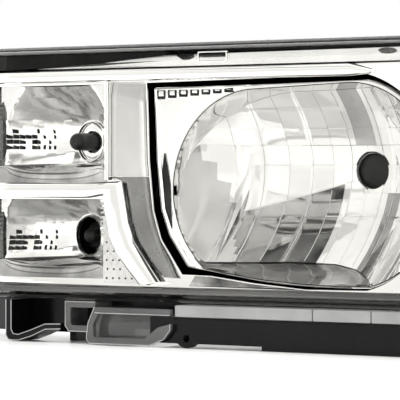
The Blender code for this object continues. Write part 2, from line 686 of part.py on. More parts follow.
def make_main_reflector(parent):
    """The parabolic bowl with its flat shelves, its front flange, its bulb seat and its three bosses."""
    centre = (AXIS_X, AXIS_Z)
    aperture = main_aperture()
    flange = end_outline(FLANGE_POINTS, FLANGE_ARC)
    steps, depth_steps = 40, 5
    rings = []
    angles = [2 * math.pi * i / steps for i in range(steps)]
    edges = [reach(aperture, centre, a) for a in angles]
    rims = [max(reach(flange, centre, a), edge + REFLECTOR_WALL) for a, edge in zip(angles, edges)]

    def radius_at(edge, level):
        return BULB_HOLE_RADIUS + (edge - BULB_HOLE_RADIUS) * level / depth_steps

    for level in range(depth_steps + 1):
        radii = [radius_at(edge, level) for edge in edges]
        depths = [max(paraboloid(radius), REFLECTOR_FRONT_Y + 1 * MM) for radius in radii]
        rings.append([polar(centre, r, a, y) for r, a, y in zip(radii, angles, depths)])
    lip = REFLECTOR_FRONT_Y
    rings.append([polar(centre, edge, a, lip) for edge, a in zip(edges, angles)])
    rings.append([polar(centre, rim, a, lip) for rim, a in zip(rims, angles)])
    back = lip + REFLECTOR_WALL
    rings.append([polar(centre, rim, a, back) for rim, a in zip(rims, angles)])
    rings.append([polar(centre, edge + REFLECTOR_WALL, a, back + 0.1 * MM) for edge, a in zip(edges, angles)])
    for level in range(depth_steps, -1, -1):
        radii = [radius_at(edge, level) + (REFLECTOR_WALL if level else 0) for edge in edges]
        depths = [max(paraboloid(radius, 3 * MM), back + 0.2 * MM) for radius in radii]
        rings.append([polar(centre, r, a, y) for r, a, y in zip(radii, angles, depths)])
    bowl = loft("main_reflector", rings, "chrome", closed_ends=False, parent=parent)
    seat = turned_ring("main_reflector_seat", tube_profile(BULB_HOLE_RADIUS + 0.2 * MM, SEAT_RADIUS, 32 * MM,
                                                           SEAT_BACK_Y), centre, None, 32)
    combine(bowl, seat, "UNION")
    for name, x, z, front in (("pivot", PIVOT.x, PIVOT.z, REFLECTOR_FRONT_Y + 1 * MM),
                              ("vertical", PIVOT.x, VERTICAL_SCREW_Z, REFLECTOR_FRONT_Y + 1 * MM),
                              ("horizontal", HORIZONTAL_SCREW_X, PIVOT.z, EAR_FRONT_Y)):
        profile = [(BOSS_RADIUS, front), (BOSS_RADIUS, BOSS_BACK_Y)]
        boss = turned("main_reflector_boss_" + name, profile, (x, z), None, 16)
        combine(bowl, boss, "UNION")
    outline = to_metres([(168, 158), (180, 162), (182, 172), (172, 176), (160, 168)])
    ear = prism("main_reflector_ear", outline, EAR_FRONT_Y, EAR_FRONT_Y + 5 * MM, None)
    combine(bowl, ear, "UNION")
    return bowl


def make_small_reflector(name, chamber, centre):
    """A shallow bowl from a rounded chamber mouth back to an upright oval bulb hole."""
    x_low, x_high, z_low, z_high = chamber
    mouth = rounded_box(x_low, x_high, z_low, z_high, 6 * MM)
    steps, depth_steps = 30, 4
    angles = [2 * math.pi * (i + 0.5) / steps for i in range(steps)]
    rim_y = BEZEL_BACK_Y + GAP
    depth = SMALL_HOLE_Y - rim_y
    half_width, half_height = SMALL_HOLE_WIDTH / 2, SMALL_HOLE_HEIGHT / 2
    holes = [math.hypot(half_width * math.cos(a), half_height * math.sin(a)) for a in angles]
    edges = [reach(mouth, centre, a) for a in angles]
    inside, outside = [], []
    for level in range(depth_steps + 1):
        share = level / depth_steps
        y = SMALL_HOLE_Y - depth * share ** 1.7
        radii = [hole + (edge - hole) * share for hole, edge in zip(holes, edges)]
        inside.append([swept(*polar(centre, r, a, y)) for r, a in zip(radii, angles)])
        behind = y + 2 * MM * (1 - share)
        outside.append([swept(*polar(centre, r + 2 * MM, a, behind)) for r, a in zip(radii, angles)])
    return loft(name, inside + outside[::-1], "chrome", closed_ends=False)


# ---------------------------------------------------------------- bulbs and sockets


def make_main_bulb(parent):
    """Capsule, metal flange, plastic base and plug of the main bulb, held on the reflector's seat."""
    centre = (AXIS_X, AXIS_Z)
    tip = [(0.6, 37), (3.4, 37.6), (5.2, 39.4), (5.8, 42), (5.8, 50)]
    turned("main_bulb_glass", [(r * MM, y * MM) for r, y in tip], centre, "coated_glass", 20, parent)
    flange = tube_profile(6.2 * MM, 20 * MM, SEAT_BACK_Y + GAP, SEAT_BACK_Y + 1.5 * MM)
    turned_ring("main_bulb_flange", flange, centre, "steel", 28, parent)
    base = [(11.5, 50.3), (11.5, 58), (8, 60), (8, 64)]
    turned("main_bulb_base", [(r * MM, y * MM) for r, y in base], centre, "black_plastic", 20, parent)
    block("main_bulb_plug", (AXIS_X - 9 * MM, 64.3 * MM, AXIS_Z - 8 * MM),
          (AXIS_X + 9 * MM, 75 * MM, AXIS_Z + 8 * MM), "grey_plastic", 1 * MM, parent)


def make_bulb_clip(parent):
    """The wire that holds the bulb flange down, hinged at its lower end."""
    half, low = 15 * MM, CLIP_PIVOT_Z
    crown = (AXIS_X, AXIS_Z + 8 * MM)
    top = arc(crown, half, 180, 0, 10)
    route = [(AXIS_X - half - 5 * MM, low), (AXIS_X - half, low + 2 * MM)] + top
    route += [(AXIS_X + half, low + 2 * MM), (AXIS_X + half + 5 * MM, low)]
    curve = bpy.data.curves.new("bulb_clip", "CURVE")
    curve.dimensions = "3D"
    curve.bevel_depth = 1.0 * MM
    curve.bevel_resolution = 1
    curve.use_fill_caps = True
    spline = curve.splines.new("POLY")
    spline.points.add(len(route) - 1)
    for point, (x, z) in zip(spline.points, route):
        point.co = (x, CLIP_Y, z, 1)
    clip = bpy.data.objects.new("bulb_clip", curve)
    curve.materials.append(finish("steel").copy())
    bpy.context.scene.collection.objects.link(clip)
    clip.parent = parent
    clip.matrix_parent_inverse = Matrix.Translation(-parent.location)
    return clip


def make_small_bulb_unit(name, centre, bulb_length, bulb_radius, bulb_finish, parent):
    """A twist-in holder with its flange, grip and plug, and the bulb in it."""
    profile = [(10, -19), (10, -14), (11.6, -13.7), (11.6, 0.3), (16, 0.3), (16, 3.3), (11, 4.3), (11, 13)]
    profile = [(r * MM, v * MM) for r, v in profile]
    holder = turned(name + "_socket", profile, centre, "grey_plastic", 24, parent)
    grip = block(name + "_grip", (centre[0] - 15 * MM, 3 * MM, centre[1] - 2.5 * MM),
                 (centre[0] + 15 * MM, 12 * MM, centre[1] + 2.5 * MM), None)
    combine(holder, grip, "UNION")
    plug = block(name + "_inlet", (centre[0] - 8 * MM, 12 * MM, centre[1] - 6 * MM),
                 (centre[0] + 8 * MM, 24 * MM, centre[1] + 6 * MM), None)
    combine(holder, plug, "UNION")
    mouth = block(name + "_inlet_mouth", (centre[0] - 6 * MM, 15 * MM, centre[1] - 4 * MM),
                  (centre[0] + 6 * MM, 30 * MM, centre[1] + 4 * MM), None)
    combine(holder, mouth, "DIFFERENCE")
    back = -19 * MM - GAP
    outline = [(0.15, 1), (0.6, 0.96), (0.9, 0.86), (1, 0.72), (1, 0.12), (0.75, 0)]
    profile = [(share * bulb_radius, back - along * bulb_length) for share, along in outline]
    turned(name + "_bulb", profile, centre, bulb_finish, 20, parent)


# ---------------------------------------------------------------- aiming gear


def make_pivot(parent):
    """The ball that the reflector swivels on, and the post that carries it."""
    turned("pivot_ball", ball_profile(BALL_RADIUS, PIVOT.y), (PIVOT.x, PIVOT.z), "nylon", 16, parent)
    start = PIVOT.y + BALL_RADIUS + 0.5 * MM
    profile = [(4 * MM, start), (4 * MM, 40 * MM), (7 * MM, 50 * MM), (7 * MM, 61.7 * MM)]
    turned("pivot_post", profile, (PIVOT.x, PIVOT.z), "black_plastic", 16)


def make_adjuster(name, centre, rod_parent, wheel_parent):
    """A push rod with its ball, the bush in the rear wall and the toothed hand wheel."""
    rod = ball_profile(BALL_RADIUS, PIVOT.y)[:-1]
    rod += [(ROD_RADIUS, PIVOT.y + BALL_RADIUS), (ROD_RADIUS, 63 * MM)]
    turned(name + "_rod", rod, centre, "nylon", 14, rod_parent)
    bush = [(3.6, 55), (5.2, 55), (5.2, 64.8), (9, 64.8), (9, 67.5), (3.6, 67.5)]
    turned_ring(name + "_bush", [(r * MM, y * MM) for r, y in bush], centre, "rubber", 16)
    outline = []
    for index in range(WHEEL_TEETH * 4):
        angle = 2 * math.pi * (index - 0.5) / (WHEEL_TEETH * 4)
        radius = (12 if index % 4 < 2 else 10) * MM
        outline.append((centre[0] + radius * math.cos(angle), centre[1] + radius * math.sin(angle)))
    wheel = prism(name + "_wheel", outline, 69 * MM, 76 * MM, "nylon", wheel_parent)
    hub = turned(name + "_wheel_hub", [(5.5 * MM, 68 * MM), (5.5 * MM, 80 * MM)], centre, None, 16)
    combine(wheel, hub, "UNION")
    hexagon = [(x + centre[0], z + centre[1]) for x, z in arc((0, 0), 3 * MM, 0, 300, 5)]
    drive = prism(name + "_wheel_drive", hexagon, 74 * MM, 90 * MM, None)
    combine(wheel, drive, "DIFFERENCE")
    bore = turned(name + "_wheel_bore", [(3.6 * MM, 60 * MM), (3.6 * MM, 70 * MM)], centre, None, 14)
    combine(wheel, bore, "DIFFERENCE")


# ---------------------------------------------------------------- rear cover


def make_dust_cap(parent):
    """The twist-off rear cover with its grip bar, and the sealing ring under it."""
    centre = (AXIS_X, AXIS_Z)
    outside = [(r * MM, y * MM) for r, y in ((53, 70), (53, 86), (49, 92), (46, 98.4))]
    inside = [(r * MM, y * MM) for r, y in ((44.4, 96), (47.2, 90.8), (51, 85), (51, 70))]
    cap = turned("dust_cap", outside, centre, "black_plastic", 40, parent)
    hollow = turned("dust_cap_hollow", [(51 * MM, 60 * MM)] + inside[::-1][1:], centre, None, 40)
    combine(cap, hollow, "DIFFERENCE")
    bar = block("dust_cap_grip", (AXIS_X - 40 * MM, 97 * MM, AXIS_Z - 4 * MM),
                (AXIS_X + 40 * MM, 103 * MM, AXIS_Z + 4 * MM), None)
    combine(cap, bar, "UNION")
    for index in range(8):
        angle = CAP_FIRST_RIB + 2 * math.pi * index / 8
        x, _, z = polar(centre, CAP_RIB_CIRCLE, angle, 0)
        profile = [(2.2 * MM, 71 * MM), (2.2 * MM, 84 * MM)]
        rib = turned("dust_cap_rib_" + str(index), profile, (x, z), None, 8)
        combine(cap, rib, "UNION")
    ring = tube_profile(46 * MM, 50.6 * MM, 76.3 * MM, 79 * MM)
    turned_ring("cap_seal", ring, centre, "rubber", 32, parent)


def build():
    """Make every piece of the lamp."""
    clear_scene()
    make_housing()
    make_lug_sleeves()
    make_vents()
    make_main_connector()
    make_lens()
    make_seal()
    make_bezel()
    make_blades()
    make_panels()
    make_strips()
    make_outer_trims()
    make_lower_brackets()
    make_small_reflector("turn_reflector", TURN_CHAMBER, TURN_CENTRE)
    make_small_reflector("position_reflector", POSITION_CHAMBER, POSITION_CENTRE)
    yaw = make_empty("yaw_axis", PIVOT)
    tilt = make_empty("tilt_axis", PIVOT)
    make_pivot(yaw)
    make_main_reflector(tilt)
    make_main_bulb(tilt)
    clip_axis = make_empty("bulb_clip_axis", (AXIS_X, CLIP_Y, CLIP_PIVOT_Z))
    make_bulb_clip(clip_axis)
    cap_axis = make_empty("dust_cap_axis", (AXIS_X, CAP_BACK_Y, AXIS_Z))
    make_dust_cap(cap_axis)
    for name, centre in (("vertical_aim", (PIVOT.x, VERTICAL_SCREW_Z)),
                         ("horizontal_aim", (HORIZONTAL_SCREW_X, PIVOT.z))):
        rod_axis = make_empty(name + "_rod_axis", (centre[0], 0, centre[1]))
        wheel_axis = make_empty(name + "_wheel_axis", (centre[0], 0, centre[1]))
        make_adjuster(name, centre, rod_axis, wheel_axis)
    for name, centre, length, radius, bulb in (("turn", TURN_CENTRE, 31 * MM, 6.3 * MM, "coated_glass"),
                                               ("position", POSITION_CENTRE, 8 * MM, 5 * MM, "bulb_glass")):
        socket_axis = make_empty(name + "_socket_axis", (centre[0], 0, centre[1]))
        make_small_bulb_unit(name, centre, length, radius, bulb, socket_axis)


build()
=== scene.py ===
import json
import math

import bmesh
import bpy
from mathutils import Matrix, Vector


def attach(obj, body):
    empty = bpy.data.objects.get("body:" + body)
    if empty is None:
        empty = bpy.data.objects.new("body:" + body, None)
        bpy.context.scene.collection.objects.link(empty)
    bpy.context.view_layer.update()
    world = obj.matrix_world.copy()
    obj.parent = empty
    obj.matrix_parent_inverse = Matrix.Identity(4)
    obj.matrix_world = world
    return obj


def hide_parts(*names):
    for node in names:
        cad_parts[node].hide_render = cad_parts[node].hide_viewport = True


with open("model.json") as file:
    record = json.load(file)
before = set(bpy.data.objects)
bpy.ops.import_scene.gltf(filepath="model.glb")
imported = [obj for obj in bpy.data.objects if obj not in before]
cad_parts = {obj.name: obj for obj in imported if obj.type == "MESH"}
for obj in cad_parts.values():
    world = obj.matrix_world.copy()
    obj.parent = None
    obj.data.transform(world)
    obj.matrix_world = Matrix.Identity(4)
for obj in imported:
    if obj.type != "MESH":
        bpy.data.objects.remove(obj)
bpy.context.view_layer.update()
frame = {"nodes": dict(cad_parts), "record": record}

MM = 0.001

# Camera: three-quarter view from the grille side, far away and nearly level
AIM = Vector((0.0175, -0.073, 0.100))
AZIMUTH = math.radians(35)
PITCH = math.radians(0.43)
DISTANCE = 1.97
FIELD_OF_VIEW = math.radians(7.898)

# The plan curve that the lens, the mask and the trims share
SWEEP_START = -0.140
SWEEP_LENGTH = 0.091
SWEEP_DEPTH = 0.052

# Planes, front to rear, in millimetres
BEZEL_Y = -73
LIP_Y = -67
BAR_FOOT_Y = -73.3
STRIP_TOP = 176.8

# Main reflector, in millimetres
AXIS = (89.8, 119.8)
VERTEX_Y = 35
FOCAL = 26
BULB_HOLE = 12.6
COLUMN_PITCH = 12.2
FIRST_COLUMN = 0.8
LEFT_ARC = (59, 107, 68)
RIGHT_ARC = (133, 112, 66)
RIGHT_LOW_RADIUS = 70.3

# Small reflectors, in millimetres: hole centre, chamber (x_low, x_high, ledge front, ledge rear, z_high)
TURN = {"centre": (-108.6, 140.8), "chamber": (-158, -61, 112.6, 124, 180), "marks": 143}
POSITION = {"centre": (-110.4, 73.6), "chamber": (-158, -63, 46, 57.5, 100), "marks": 71}
SMALL_HOLE = (11.2, 13.4)
SMALL_HOLE_Y = -28
SMALL_CURVE = 44.8


# ---- materials


def node(tree, kind, **settings):
    """A shader node with its properties or inputs set by name."""
    made = tree.nodes.new("ShaderNode" + kind)
    for name, value in settings.items():
        if name in made.inputs:
            made.inputs[name].default_value = value
        else:
            setattr(made, name, value)
    return made


def place(tree, stretch=(1, 1, 1)):
    """Object coordinates, stretched for grain that runs one way."""
    where = tree.nodes.new("ShaderNodeTexCoord")
    scale = tree.nodes.new("ShaderNodeMapping")
    scale.inputs["Scale"].default_value = stretch
    tree.links.new(where.outputs["Object"], scale.inputs["Vector"])
    return scale.outputs["Vector"]


def noise(tree, scale, detail=4, stretch=(1, 1, 1)):
    """A noise value in object space; scale is in cells per metre."""
    made = node(tree, "TexNoise", Scale=scale, Detail=detail)
    tree.links.new(place(tree, stretch), made.inputs["Vector"])
    return made.outputs["Fac"]


def mapped(tree, value, from_min, from_max, to_min, to_max):
    """A value carried over from one range to another."""
    limits = {"From Min": from_min, "From Max": from_max, "To Min": to_min, "To Max": to_max}
    made = node(tree, "MapRange", **limits)
    tree.links.new(value, made.inputs["Value"])
    return made.outputs["Result"]


def blended(tree, mix, one, two, output):
    """Send the mix of two shaders to the output."""
    tree.links.new(one.outputs[0], mix.inputs[1])
    tree.links.new(two.outputs[0], mix.inputs[2])
    tree.links.new(mix.outputs["Shader"], output.inputs["Surface"])


def tint(tree, value, dark, light):
    """A colour between two tones or colours, by a noise value."""
    ramp = tree.nodes.new("ShaderNodeValToRGB")
    ramp.color_ramp.elements[0].position = 0.3
    ramp.color_ramp.elements[0].color = (*grey(dark), 1)
    ramp.color_ramp.elements[1].position = 0.7
    ramp.color_ramp.elements[1].color = (*grey(light), 1)
    tree.links.new(value, ramp.inputs["Fac"])
    return ramp.outputs["Color"]


def bumped(tree, shader, value, strength, distance):
    """Raise the shader's surface by a value."""
    bump = node(tree, "Bump", Strength=strength, Distance=distance)
    tree.links.new(value, bump.inputs["Height"])
    tree.links.new(bump.outputs["Normal"], shader.inputs["Normal"])


def surface(name, dark, light, rough, metallic=0.0, patch=30, grain=None, stretch=(1, 1, 1), shine=0.5):
    """A material with patchy colour, patchy roughness and optional grain (scale, strength, depth)."""
    material = bpy.data.materials.new(name)
    material.use_nodes = True
    tree = material.node_tree
    shader = tree.nodes["Principled BSDF"]
    shader.inputs["Metallic"].default_value = metallic
    shader.inputs["Specular IOR Level"].default_value = shine
    patches = noise(tree, patch, 3, stretch)
    tree.links.new(tint(tree, patches, dark, light), shader.inputs["Base Color"])
    fine = noise(tree, patch * 7, 5, stretch)
    tree.links.new(mapped(tree, fine, 0.3, 0.7, *rough), shader.inputs["Roughness"])
    if grain:
        scale, strength, depth = grain
        bumped(tree, shader, noise(tree, scale, 2, stretch), strength, depth)
    return material


def grey(tone):
    """A neutral colour from one number; a colour given in full stays as it is."""
    return tone if isinstance(tone, tuple) else (tone, tone * 0.998, tone * 0.99)


# Layer Weight facing value up to which clear plastic doesn't mirror
CLEAR_UP_TO = 0.58


def clear_material(name, tone, gloss, see):
    """A see-through moulding: transparent, with a mirror that grows towards grazing angles."""
    material = bpy.data.materials.new(name)
    material.use_nodes = True
    tree = material.node_tree
    tree.nodes.remove(tree.nodes["Principled BSDF"])
    through = node(tree, "BsdfTransparent")
    tree.links.new(tint(tree, noise(tree, 18, 2), tone * 0.985, tone), through.inputs["Color"])
    mirror = node(tree, "BsdfGlossy", Roughness=gloss)
    tree.links.new(tint(tree, noise(tree, 25, 2), 0.95, 1.0), mirror.inputs["Color"])
    edge = node(tree, "LayerWeight", Blend=0.5)
    share = node(tree, "Math", operation="MULTIPLY_ADD", use_clamp=True)
    share.inputs[1].default_value = see
    share.inputs[2].default_value = -CLEAR_UP_TO * see
    tree.links.new(edge.outputs["Facing"], share.inputs[0])
    mix = tree.nodes.new("ShaderNodeMixShader")
    tree.links.new(share.outputs["Value"], mix.inputs["Fac"])
    blended(tree, mix, through, mirror, tree.nodes["Material Output"])
    return material


def smoked_material(name):
    """Grey translucent plastic with a glossy skin."""
    material = surface(name, 0.07, 0.14, (0.08, 0.16), 0.0, 40, (260, 0.08, 0.0004))
    tree = material.node_tree
    shader = tree.nodes["Principled BSDF"]
    shader.inputs["Coat Weight"].default_value = 0.5
    shader.inputs["Coat Roughness"].default_value = 0.06
    through = node(tree, "BsdfTransparent")
    tree.links.new(tint(tree, noise(tree, 30, 2), 0.55, 0.7), through.inputs["Color"])
    mix = node(tree, "MixShader", Fac=0.35)
    blended(tree, mix, shader, through, tree.nodes["Material Output"])
    return material


CHROME = surface("bright_chrome", 0.88, 0.94, (0.02, 0.06), 1.0, 12, (45, 0.05, 0.0006))
SOFT = surface("soft_chrome", 0.9, 0.96, (0.06, 0.1), 0.8, 15, (60, 0.03, 0.0006))
FACET = surface("reflector_chrome", 0.9, 0.96, (0.015, 0.045), 1.0, 15, (160, 0.03, 0.0004))
SATIN = surface("satin_silver", 0.56, 0.68, (0.16, 0.24), 0.9, 16, (30, 0.04, 0.001))
BLACK = surface("black_moulding", 0.002, 0.005, (0.16, 0.24), 0.0, 25, (900, 0.05, 0.0001), shine=0.16)
BLACK_GLOSS = surface("black_gloss", 0.004, 0.008, (0.08, 0.14), 0.0, 30, (300, 0.03, 0.0003), shine=0.14)
GREY = surface("grey_moulding", 0.30, 0.38, (0.3, 0.42), 0.0, 35, (900, 0.15, 0.0003))
LIGHT_GREY = surface("light_grey_moulding", 0.26, 0.34, (0.28, 0.4), 0.0, 35, (900, 0.12, 0.0003))
# Darker copy of the satin silver for the panel's lower part: painted shade.
SATIN_SHADED = surface("satin_painted_shade", 0.17, 0.34, (0.2, 0.3), 0.9, 13, (25, 0.03, 0.001))
# Tones painted face by face on the main bowl as painted reflections: a rougher smooth grey, also used for the
# bowl's smooth left area, and pale and grey copies of its chrome.
BOWL_SMOOTH = surface("bowl_smooth", 0.6, 0.66, (0.2, 0.26), 0.6, 10)
BOWL_PALE_REFLECTION = surface("bowl_painted_pale_reflection", 0.97, 0.99, (0.03, 0.05), 0.3, 12)
BOWL_GREY_REFLECTION = surface("bowl_painted_grey_reflection", 0.28, 0.46, (0.03, 0.05), 0.9, 24)
# Near-black chrome for painted shade and painted dark reflections on small pieces.
PAINTED_DARK = surface("painted_dark_chrome", 0.02, 0.05, (0.04, 0.07), 1.0, 40)
# Darker chrome for the mouth's lower ledge and a sliver on the mask: painted shade.
SHADED_SHELF = surface("painted_shade_shelf", 0.06, 0.5, (0.06, 0.09), 0.9, 42)
LEDGE = surface("ledge_chrome", 0.22, 0.62, (0.08, 0.12), 0.9, 26, None, (1, 1, 0.4))
# Darkened satin silver for the half-round strip along the lens bottom: painted shade.
SHADED_ROLL = surface("painted_shade_roll", 0.06, 0.2, (0.08, 0.14), 0.9, 14, None, (0.2, 1, 3))
# The flange's chrome is partly diffuse and near white: painted pale reflection.
FLANGE = surface("flange_chrome", 0.95, 0.98, (0.03, 0.05), 0.6, 15)
# Bead tones for the bowl's facet joins: a painted highlight and a painted shade line.
HIGHLIGHT_LINE = surface("painted_highlight_line", 0.8, 0.9, (0.35, 0.45), 0.3, 40)
SHADE_LINE = surface("painted_shade_line", 0.2, 0.3, (0.25, 0.35), 0.9, 40)
# Pale beads on the clips' and bracket's edges: painted edge highlights.
EDGE = surface("painted_edge_highlight", 0.3, 0.42, (0.15, 0.25), 0.0, 60, (300, 0.05, 0.0003))
TRIM = surface("dark_trim", 0.07, 0.12, (0.2, 0.3), 0.8, 30, (500, 0.06, 0.0003))
SMOKED = smoked_material("smoked_clip")
RUBBER = surface("rubber", 0.014, 0.026, (0.7, 0.85), 0.0, 40, (700, 0.3, 0.0004))
STEEL = surface("zinc_steel", 0.48, 0.66, (0.25, 0.4), 1.0, 60, (800, 0.15, 0.0002), (1, 1, 8))
NYLON = surface("nylon", (0.62, 0.61, 0.57), (0.74, 0.73, 0.69), (0.4, 0.52), 0.0, 50, (600, 0.1, 0.0003))
COATED = surface("coated_glass", 0.02, 0.03, (0.35, 0.45), 0.0, 60, (200, 0.05, 0.0003), shine=0.2)
CLEAR = clear_material("clear_lens", 0.99, 0.015, 1.3)
GLASS = clear_material("bulb_glass", 0.94, 0.02, 1.6)


# ---- mesh helpers


def swept(x, y, z):
    """A point in metres moved back with the lamp's outer corner."""
    share = max(0.0, SWEEP_START - x) / SWEEP_LENGTH
    return (x, y + SWEEP_DEPTH * share * share, z)


def swept_mm(x, y, z):
    """The same for a point in millimetres."""
    return swept(x * MM, y * MM, z * MM)


def spread(low, high, count):
    """count + 1 evenly spaced values."""
    return [low + (high - low) * i / count for i in range(count + 1)]


def arc(centre, radius, start, end, count):
    """Points on an arc, angles in degrees."""
    angles = [math.radians(a) for a in spread(start, end, count)]
    return [(centre[0] + radius * math.cos(a), centre[1] + radius * math.sin(a)) for a in angles]


def solid(name, points, faces, material, sharp=35):
    """A mesh object with its faces turned outwards and its sharp edges marked."""
    shape = bmesh.new()
    corners = [shape.verts.new(point) for point in points]
    for face in faces:
        shape.faces.new([corners[index] for index in face])
    bmesh.ops.recalc_face_normals(shape, faces=shape.faces)
    mesh = bpy.data.meshes.new(name)
    shape.to_mesh(mesh)
    shape.free()
    mesh.materials.append(material)
    mesh.shade_smooth()
    mesh.set_sharp_from_angle(angle=math.radians(sharp))
    thing = bpy.data.objects.new(name, mesh)
    bpy.context.scene.collection.objects.link(thing)
    return thing


def loft(name, rings, material, capped=True, sharp=35):
    """Rings of equally many points joined into a closed solid; uncapped, the last ring meets the first."""
    count = len(rings[0])
    faces = []
    for level in range(len(rings) - 1 if capped else len(rings)):
        near = level * count
        far = (level + 1) % len(rings) * count
        for i in range(count):
            j = (i + 1) % count
            faces.append((near + i, near + j, far + j, far + i))
    if capped:
        faces.append(tuple(range(count)))
        faces.append(tuple(range((len(rings) - 1) * count, len(rings) * count)))
    return solid(name, [point for ring in rings for point in ring], faces, material, sharp)


def slab(name, lines, thickness, material, sharp=35):
    """A closed shell whose front is the grid lines[i][j] and whose back lies thickness behind it."""
    rings = []
    for line in lines:
        back = [(x, y + thickness, z) for x, y, z in reversed(line)]
        rings.append(list(line) + back)
    return loft(name, rings, material, True, sharp)


def rings_about(profile, centre, steps, stretch):
    """Rings about the line along Y through centre, from (radius, y) and the centre in millimetres."""
    angles = [2 * math.pi * i / steps for i in range(steps)]
    rings = []
    for radius, y in profile:
        r, cx, cz = radius * MM, centre[0] * MM, centre[1] * MM
        rings.append([(cx + r * math.cos(a), y * MM, cz + r * stretch * math.sin(a)) for a in angles])
    return rings


def turned(name, profile, centre, material, steps=48, sharp=35):
    """A solid turned about a line along Y."""
    return loft(name, rings_about(profile, centre, steps, 1.0), material, True, sharp)


def turned_ring(name, profile, centre, material, steps=48, stretch=1.0, sharp=35):
    """A ring turned about a line along Y; stretch makes it an upright oval."""
    return loft(name, rings_about(profile, centre, steps, stretch), material, False, sharp)


def baked(thing):
    """Replace an object's mesh by what its modifiers make of it."""
    graph = bpy.context.evaluated_depsgraph_get()
    mesh = bpy.data.meshes.new_from_object(thing.evaluated_get(graph))
    thing.modifiers.clear()
    thing.data = mesh
    return thing


def cut(thing, cutter):
    """Cut one solid from another and remove the cutter."""
    modifier = thing.modifiers.new("cut", "BOOLEAN")
    modifier.operation = "DIFFERENCE"
    modifier.object = cutter
    modifier.solver = "EXACT"
    baked(thing)
    bpy.data.objects.remove(cutter, do_unlink=True)
    thing.data.set_sharp_from_angle(angle=math.radians(35))
    return thing


def fit(thing, body, slot_name, *nodes):
    """Put a piece on its body and hide the carried-over nodes it stands in for."""
    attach(thing, body)
    if nodes:
        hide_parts(*nodes)
    return thing


def on_reflector(thing, *nodes):
    """Put a chrome piece on the main reflector, which swivels."""
    return fit(thing, "reflector", "main_reflector_chrome", *nodes)


def on_lamp(thing, slot_name, *nodes):
    """Put a piece on the fixed lamp body."""
    return fit(thing, "lamp_body", slot_name, *nodes)


# ---- faceted surfaces


def shade_of(column, row, salt=0):
    """A repeatable number from -1 to 1 for a facet."""
    value = math.sin(column * 12.9898 + row * 78.233 + salt * 37.719) * 43758.5453
    return 2 * (value - math.floor(value)) - 1


def steps_between(low, high, count, margin):
    """Sample places inside one facet, with the share across it."""
    inner_low, inner_high = low + margin, high - margin
    if inner_high <= inner_low:
        inner_low = inner_high = (low + high) / 2
    return [(inner_low + (inner_high - inner_low) * i / count, i / count) for i in range(count + 1)]


def faceted(edges, levels, depth, pillow, tilt, per=4, margin=0.12):
    """Grid lines (mm) over columns between edges and rows between levels(x), each facet pillowed and tilted.

    depth(x, z) is the plain surface; pillow is (across, up) in millimetres and tilt the largest slope."""
    lines = []
    for column in range(len(edges) - 1):
        for x, across in steps_between(edges[column], edges[column + 1], per, margin):
            bounds = levels(x)
            line = []
            for row in range(len(bounds) - 1):
                low, high = bounds[row], bounds[row + 1]
                for z, up in steps_between(low, high, per, margin * min(1, (high - low) / 2)):
                    width = edges[column + 1] - edges[column]
                    bulge = pillow[0] * 4 * across * (1 - across) * min(1, width / 8)
                    bulge += pillow[1] * 4 * up * (1 - up) * min(1, (high - low) / 8)
                    lean = tilt * shade_of(column, row) * (across - 0.5) * width
                    lean += tilt * shade_of(column, row, 1) * (up - 0.5) * (high - low)
                    line.append((x, depth(x, z, column, row) - bulge + lean, z))
            lines.append(line)
    return lines


def plain_mm(x, y, z):
    """A point in millimetres as a point in metres."""
    return (x * MM, y * MM, z * MM)


def in_metres(lines, move=swept_mm):
    """Grid lines in millimetres as points in metres."""
    return [[move(*point) for point in line] for line in lines]


# ---- main reflector


def half_chord(x, middle, radius):
    """Height of a circle above its centre at x, and 0 beyond its side."""
    return math.sqrt(max(0.0, radius * radius - (x - middle) ** 2))


def bowl_top(x):
    """Upper edge of the main bowl at x."""
    cx, cz, r = LEFT_ARC
    dx, dz, q = RIGHT_ARC
    if x < cx:
        return cz + half_chord(x, cx, r)
    if x > dx:
        return dz + half_chord(x, dx, q)
    share = (x - cx) / (dx - cx)
    return cz + r + (dz + q - cz - r) * share


def along(points, x):
    """The second value of a polyline at its first value x."""
    for (x0, z0), (x1, z1) in zip(points, points[1:]):
        if x <= x1:
            share = max(0.0, (x - x0) / (x1 - x0))
            return z0 + (z1 - z0) * share
    return points[-1][1]


def left_bottom(x):
    """The lower half of the left arc."""
    return LEFT_ARC[1] - half_chord(x, LEFT_ARC[0], LEFT_ARC[2])


def right_bottom(x):
    """The lower half of the right arc."""
    return RIGHT_ARC[1] - half_chord(x, RIGHT_ARC[0], RIGHT_LOW_RADIUS)


LIP_LINE = [(2, 55), (16.5, 53.3), (38.8, 49.9), (65, 46.4), (95, 44.2), (127, 43.2), (150, 43.3)]
LEDGE_LINE = [(12, 57.5), (30, 57), (56, 57), (85, 55.8), (104, 52.6), (119, 48.4), (132, 44), (160, 42)]


def lip_bottom(x):
    """Lower edge of the reflector's mouth."""
    if x > 150:
        return right_bottom(x)
    return max(left_bottom(x), along(LIP_LINE, x)) if x < 60 else along(LIP_LINE, x)


def bowl_bottom(x):
    """Lower edge of the bowl, behind the sloping ledge."""
    return max(lip_bottom(x), along(LEDGE_LINE, x)) if x > 8 else left_bottom(x)


def ridge(x):
    """The cut-off step: it climbs from the left towards the bulb and is level beyond it."""
    return min(90.9 + (x - 16.1) * 0.372, 112.5) if x < 84 else 104.5


def bowl_levels(x):
    """Row limits of the main bowl at x, from its lower to its upper edge."""
    low, high = bowl_bottom(x), bowl_top(x)
    wanted = [88, ridge(x), 124, 137.8, 149.5, 163]
    if x < 18:
        wanted = [low + 0.02, low + 0.03, low + 0.04, 137.8, 149.5, 163]
    inner = []
    for level in wanted:
        floor_level = inner[-1] if inner else low
        inner.append(min(max(level, floor_level), high))
    return [low] + inner + [high]


